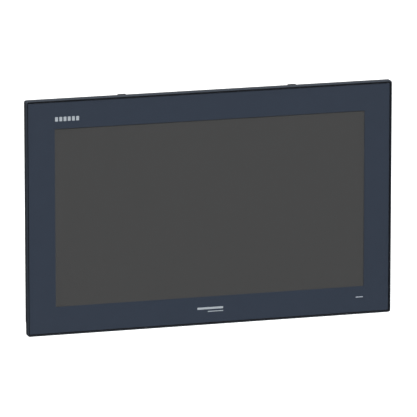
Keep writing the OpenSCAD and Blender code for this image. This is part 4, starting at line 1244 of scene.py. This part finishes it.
def add_film_block(shape, low, high):
    """A cast block with well rounded edges."""
    shape.paint("cream")
    shape.box((low.x, low.y + 0.3, low.z), high, 0.9)
    shape.paint("steel")
    for z in (low.z + 3, high.z - 3):
        shape.block(((low.x + high.x) / 2, z), (0.4, 0.4), low.y, low.y + 0.4)


def add_reset_switch(shape, low, high):
    """A small upright board with a press dome for the reset button's tail."""
    tail = middle(*box_mm("reset_button"), "xy")
    shape.paint("board")
    shape.box((low.x, low.y, low.z + 0.4), high, 0.05)
    shape.paint("steel")
    shape.block(tail, (2.6, 2.4), low.z + 0.1, low.z + 0.5, "z", 0.08)
    shape.paint("black")
    shape.turned([(1.4, low.z + 0.2), (1.35, low.z - 0.1), (1.1, low.z - 0.25)], tail, "z")


def add_push_block(shape, low, high):
    """The block that the upright board is screwed to."""
    shape.paint("black")
    shape.box(low, high, 0.3)
    shape.paint("steel")
    add_nut(shape, middle(low, high), 1.6, high.y - 0.4, high.y + 0.5, 0.8)


def add_film_socket(shape, low, high):
    """The low socket that takes the display's flat cable."""
    shape.paint("cream")
    shape.box(low, high, 0.25)


def add_board_header(shape, low, high):
    add_pin_block(shape, low, high, "black", 7, 2)


def add_wide_header(shape, low, high):
    add_pin_block(shape, low, high, "cream", 8, 3)


# What stands on the boards, by its width along X and its height along Y in tenths of a millimetre
COMPONENTS = {
    (120, 80): add_reset_switch, (60, 35): add_push_block, (240, 18): add_grid_chip,
    (700, 44): add_memory_socket, (240, 30): add_cell_holder, (100, 70): add_film_block,
    (100, 45): add_inductor, (140, 50): add_inductor, (190, 90): add_choke, (700, 100): add_cooling_plate,
    (64, 70): add_capacitor, (80, 90): add_capacitor, (100, 120): add_capacitor,
    (160, 60): add_board_header, (280, 60): add_wide_header, (280, 21): add_film_socket,
}


def board_components():
    """Every component that stands on the two large boards, each drawn in its own place."""
    shape = Shape("chip")
    found = islands("board_parts")
    for low, high in found:
        size = high - low
        kind = (round(size.x * 10), round(size.y * 10))
        if kind in COMPONENTS:
            COMPONENTS[kind](shape, low, high)
        else:
            add_chip(shape, low, high, 0.8 if size.x > 9 else 1.27, 4 if size.x == size.z else 2)
    plates = [(low, high) for low, high in found if high.x - low.x > 69 and high.y > 25]
    add_transistors(shape, *plates[0])
    shape.piece("board_components", "chip_black", "board_parts")


def add_speck(shape, x, y, z, along_x, look):
    """One small two-ended part, soldered flat."""
    half, wide, tall = 0.8, 0.42, 0.55
    ends = [(-half, 0.3 - half, 0.03), (0.28 - half, half - 0.28, 0), (half - 0.3, half, 0.03)]
    for a, b, grow in ends:
        shape.paint("steel" if grow else look)
        w, top = wide + grow, y + tall + grow
        if along_x:
            shape.box((x + a, y, z - w), (x + b, top, z + w))
        else:
            shape.box((x - w, y, z + a), (x + w, top, z + b))


# The CAD nodes that the small components stay clear of
KEEP_CLEAR = (
    "board_parts", "processor", "board_fixings", "coin_cell", "card_socket", "ethernet_jacks", "usb_ports",
    "serial_port", "video_port", "power_header", "switch_frame",
)


def is_free(box, taken):
    """Whether a box seen from the back stands clear of all those that are taken."""
    gap = 0.6
    low, high = box
    return all(
        b.x < low.x - gap or a.x > high.x + gap or b.z < low.z - gap or a.z > high.z + gap for a, b in taken
    )


def small_components():
    """Small resistors and capacitors, in short rows, wherever the boards are free."""
    dice = random.Random(11)
    step, half_wide, rim = 1.6, 1.2, 2
    taken = [pair for node in KEEP_CLEAR for pair in islands(node)]
    shape = Shape("cream")
    for board, rows in (("mainboard", 46), ("power_board", 16)):
        low, high = box_mm(board)
        made = 0
        while made < rows:
            along_x = dice.random() < 0.5
            count = dice.choice((2, 3, 4, 5))
            x, z = dice.uniform(low.x + 6, high.x - 6), dice.uniform(low.z + 6, high.z - 6)
            look = dice.choice(("cream", "chip", "chip"))
            dx, dz = (count * step, half_wide) if along_x else (half_wide, count * step)
            box = (Vector((x - dx, 0, z - dz)), Vector((x + dx, 0, z + dz)))
            inside_x = low.x + rim < box[0].x and box[1].x < high.x - rim
            inside_z = low.z + rim < box[0].z and box[1].z < high.z - rim
            if inside_x and inside_z and is_free(box, taken):
                taken.append(box)
                made += 1
                for shift in spaced(count, step):
                    at = (x + shift, z) if along_x else (x, z + shift)
                    add_speck(shape, at[0], high.y, at[1], not along_x, look)
    shape.piece("small_components", "chip_black")


def memory_board():
    """The plug-in memory: a board with a key notch, side notches, gold fingers and four chips."""
    low, high = box_mm("memory_module")
    thick = low.y + 1.1
    key = low.x + 0.37 * (high.x - low.x)
    notch, deep = low.z + 15, 1.2
    outline = [
        (low.x, low.z), (key - 0.75, low.z), (key - 0.75, low.z + 2.5), (key + 0.75, low.z + 2.5),
        (key + 0.75, low.z), (high.x, low.z), (high.x, notch - 1), (high.x - deep, notch - 1),
        (high.x - deep, notch + 1), (high.x, notch + 1), (high.x, high.z), (low.x, high.z),
        (low.x, notch + 1), (low.x + deep, notch + 1), (low.x + deep, notch - 1), (low.x, notch - 1),
    ]
    shape = Shape("board")
    shape.prism(outline, low.y, thick, "y", bevel=0.08)
    shape.paint("gold")
    count, margin = 66, 1.6
    for x in spaced(count, (high.x - low.x - 2 * margin) / (count - 1), (low.x + high.x) / 2):
        if abs(x - key) > 1.3:
            for face in (low.y - 0.02, thick - 0.03):
                shape.box((x - 0.3, face, low.z + 0.25), (x + 0.3, face + 0.05, low.z + 2.6))
    for i in range(4):
        x = low.x + 9 + i * 16.7
        shape.paint("chip")
        shape.block((x, low.z + 16.5), (6, 6), thick + 0.15, high.y, bevel=0.15)
        shape.paint("steel")
        shape.block((x, low.z + 16.5), (5.4, 5.5), thick - 0.05, thick + 0.2)
        for k in range(6):
            add_speck(shape, x - 5 + 2 * k, thick, low.z + 25.5, False, "cream")
    shape.piece("memory_board", "board_green", "memory_module")


def touch_board():
    """The touch film's controller: two chips, the film's connector and the posts that carry the board."""
    low, high = box_mm("touch_controller")
    top = low.y + 3.2
    under = top - 1.2
    edge = low.z
    shape = Shape("board")
    shape.prism(rounded_box(low, high, 0, 1.5), under, top, "y", bevel=0.05)
    shape.paint("steel")
    for x in (-30, 30):
        add_nut(shape, (x, edge + 12), 2.2, low.y, under, 1.2)
    add_chip(shape, Vector((-22, top, edge + 6)), Vector((-10, top + 1.2, edge + 18)), 0.65)
    add_chip(shape, Vector((8, top, edge + 4)), Vector((20, top + 1, edge + 12)), 1.0, 2)
    shape.paint("cream")
    shape.block((0, high.z - 2.5), (16, 2), top, high.y, bevel=0.2)
    shape.paint("chip")
    shape.block((0, high.z - 4.9), (15.4, 0.5), top + 0.7, top + 1.6, bevel=0.1)
    for i in range(9):
        add_speck(shape, -6 + 1.7 * i, top, edge + 2.5, False, "cream")
        add_speck(shape, -6 + 1.4 * i, top, edge + 16.5, False, "chip")
    shape.piece("touch_board", "board_green", "touch_controller")


# ---------------------------------------------------------------- making it

materials = make_materials()
add_camera()
add_floor()
add_lights()
dress_cad_nodes(smooth_by_angle())
cover_glass()
glass_seal()
sensor_sheet()
door_gasket()
network_sockets()
usb_sockets()
serial_socket()
video_socket()
plug_clamps()
rocker_marks()
earth_stud()
screw_set("cover_screw_set", "cover_screws", "dark_steel", "screw_black")
screw_set("housing_screw_set", "housing_screws", "steel", "screw_steel")
hook_springs()
plate_lines()
board_components()
small_components()
memory_board()
touch_board()
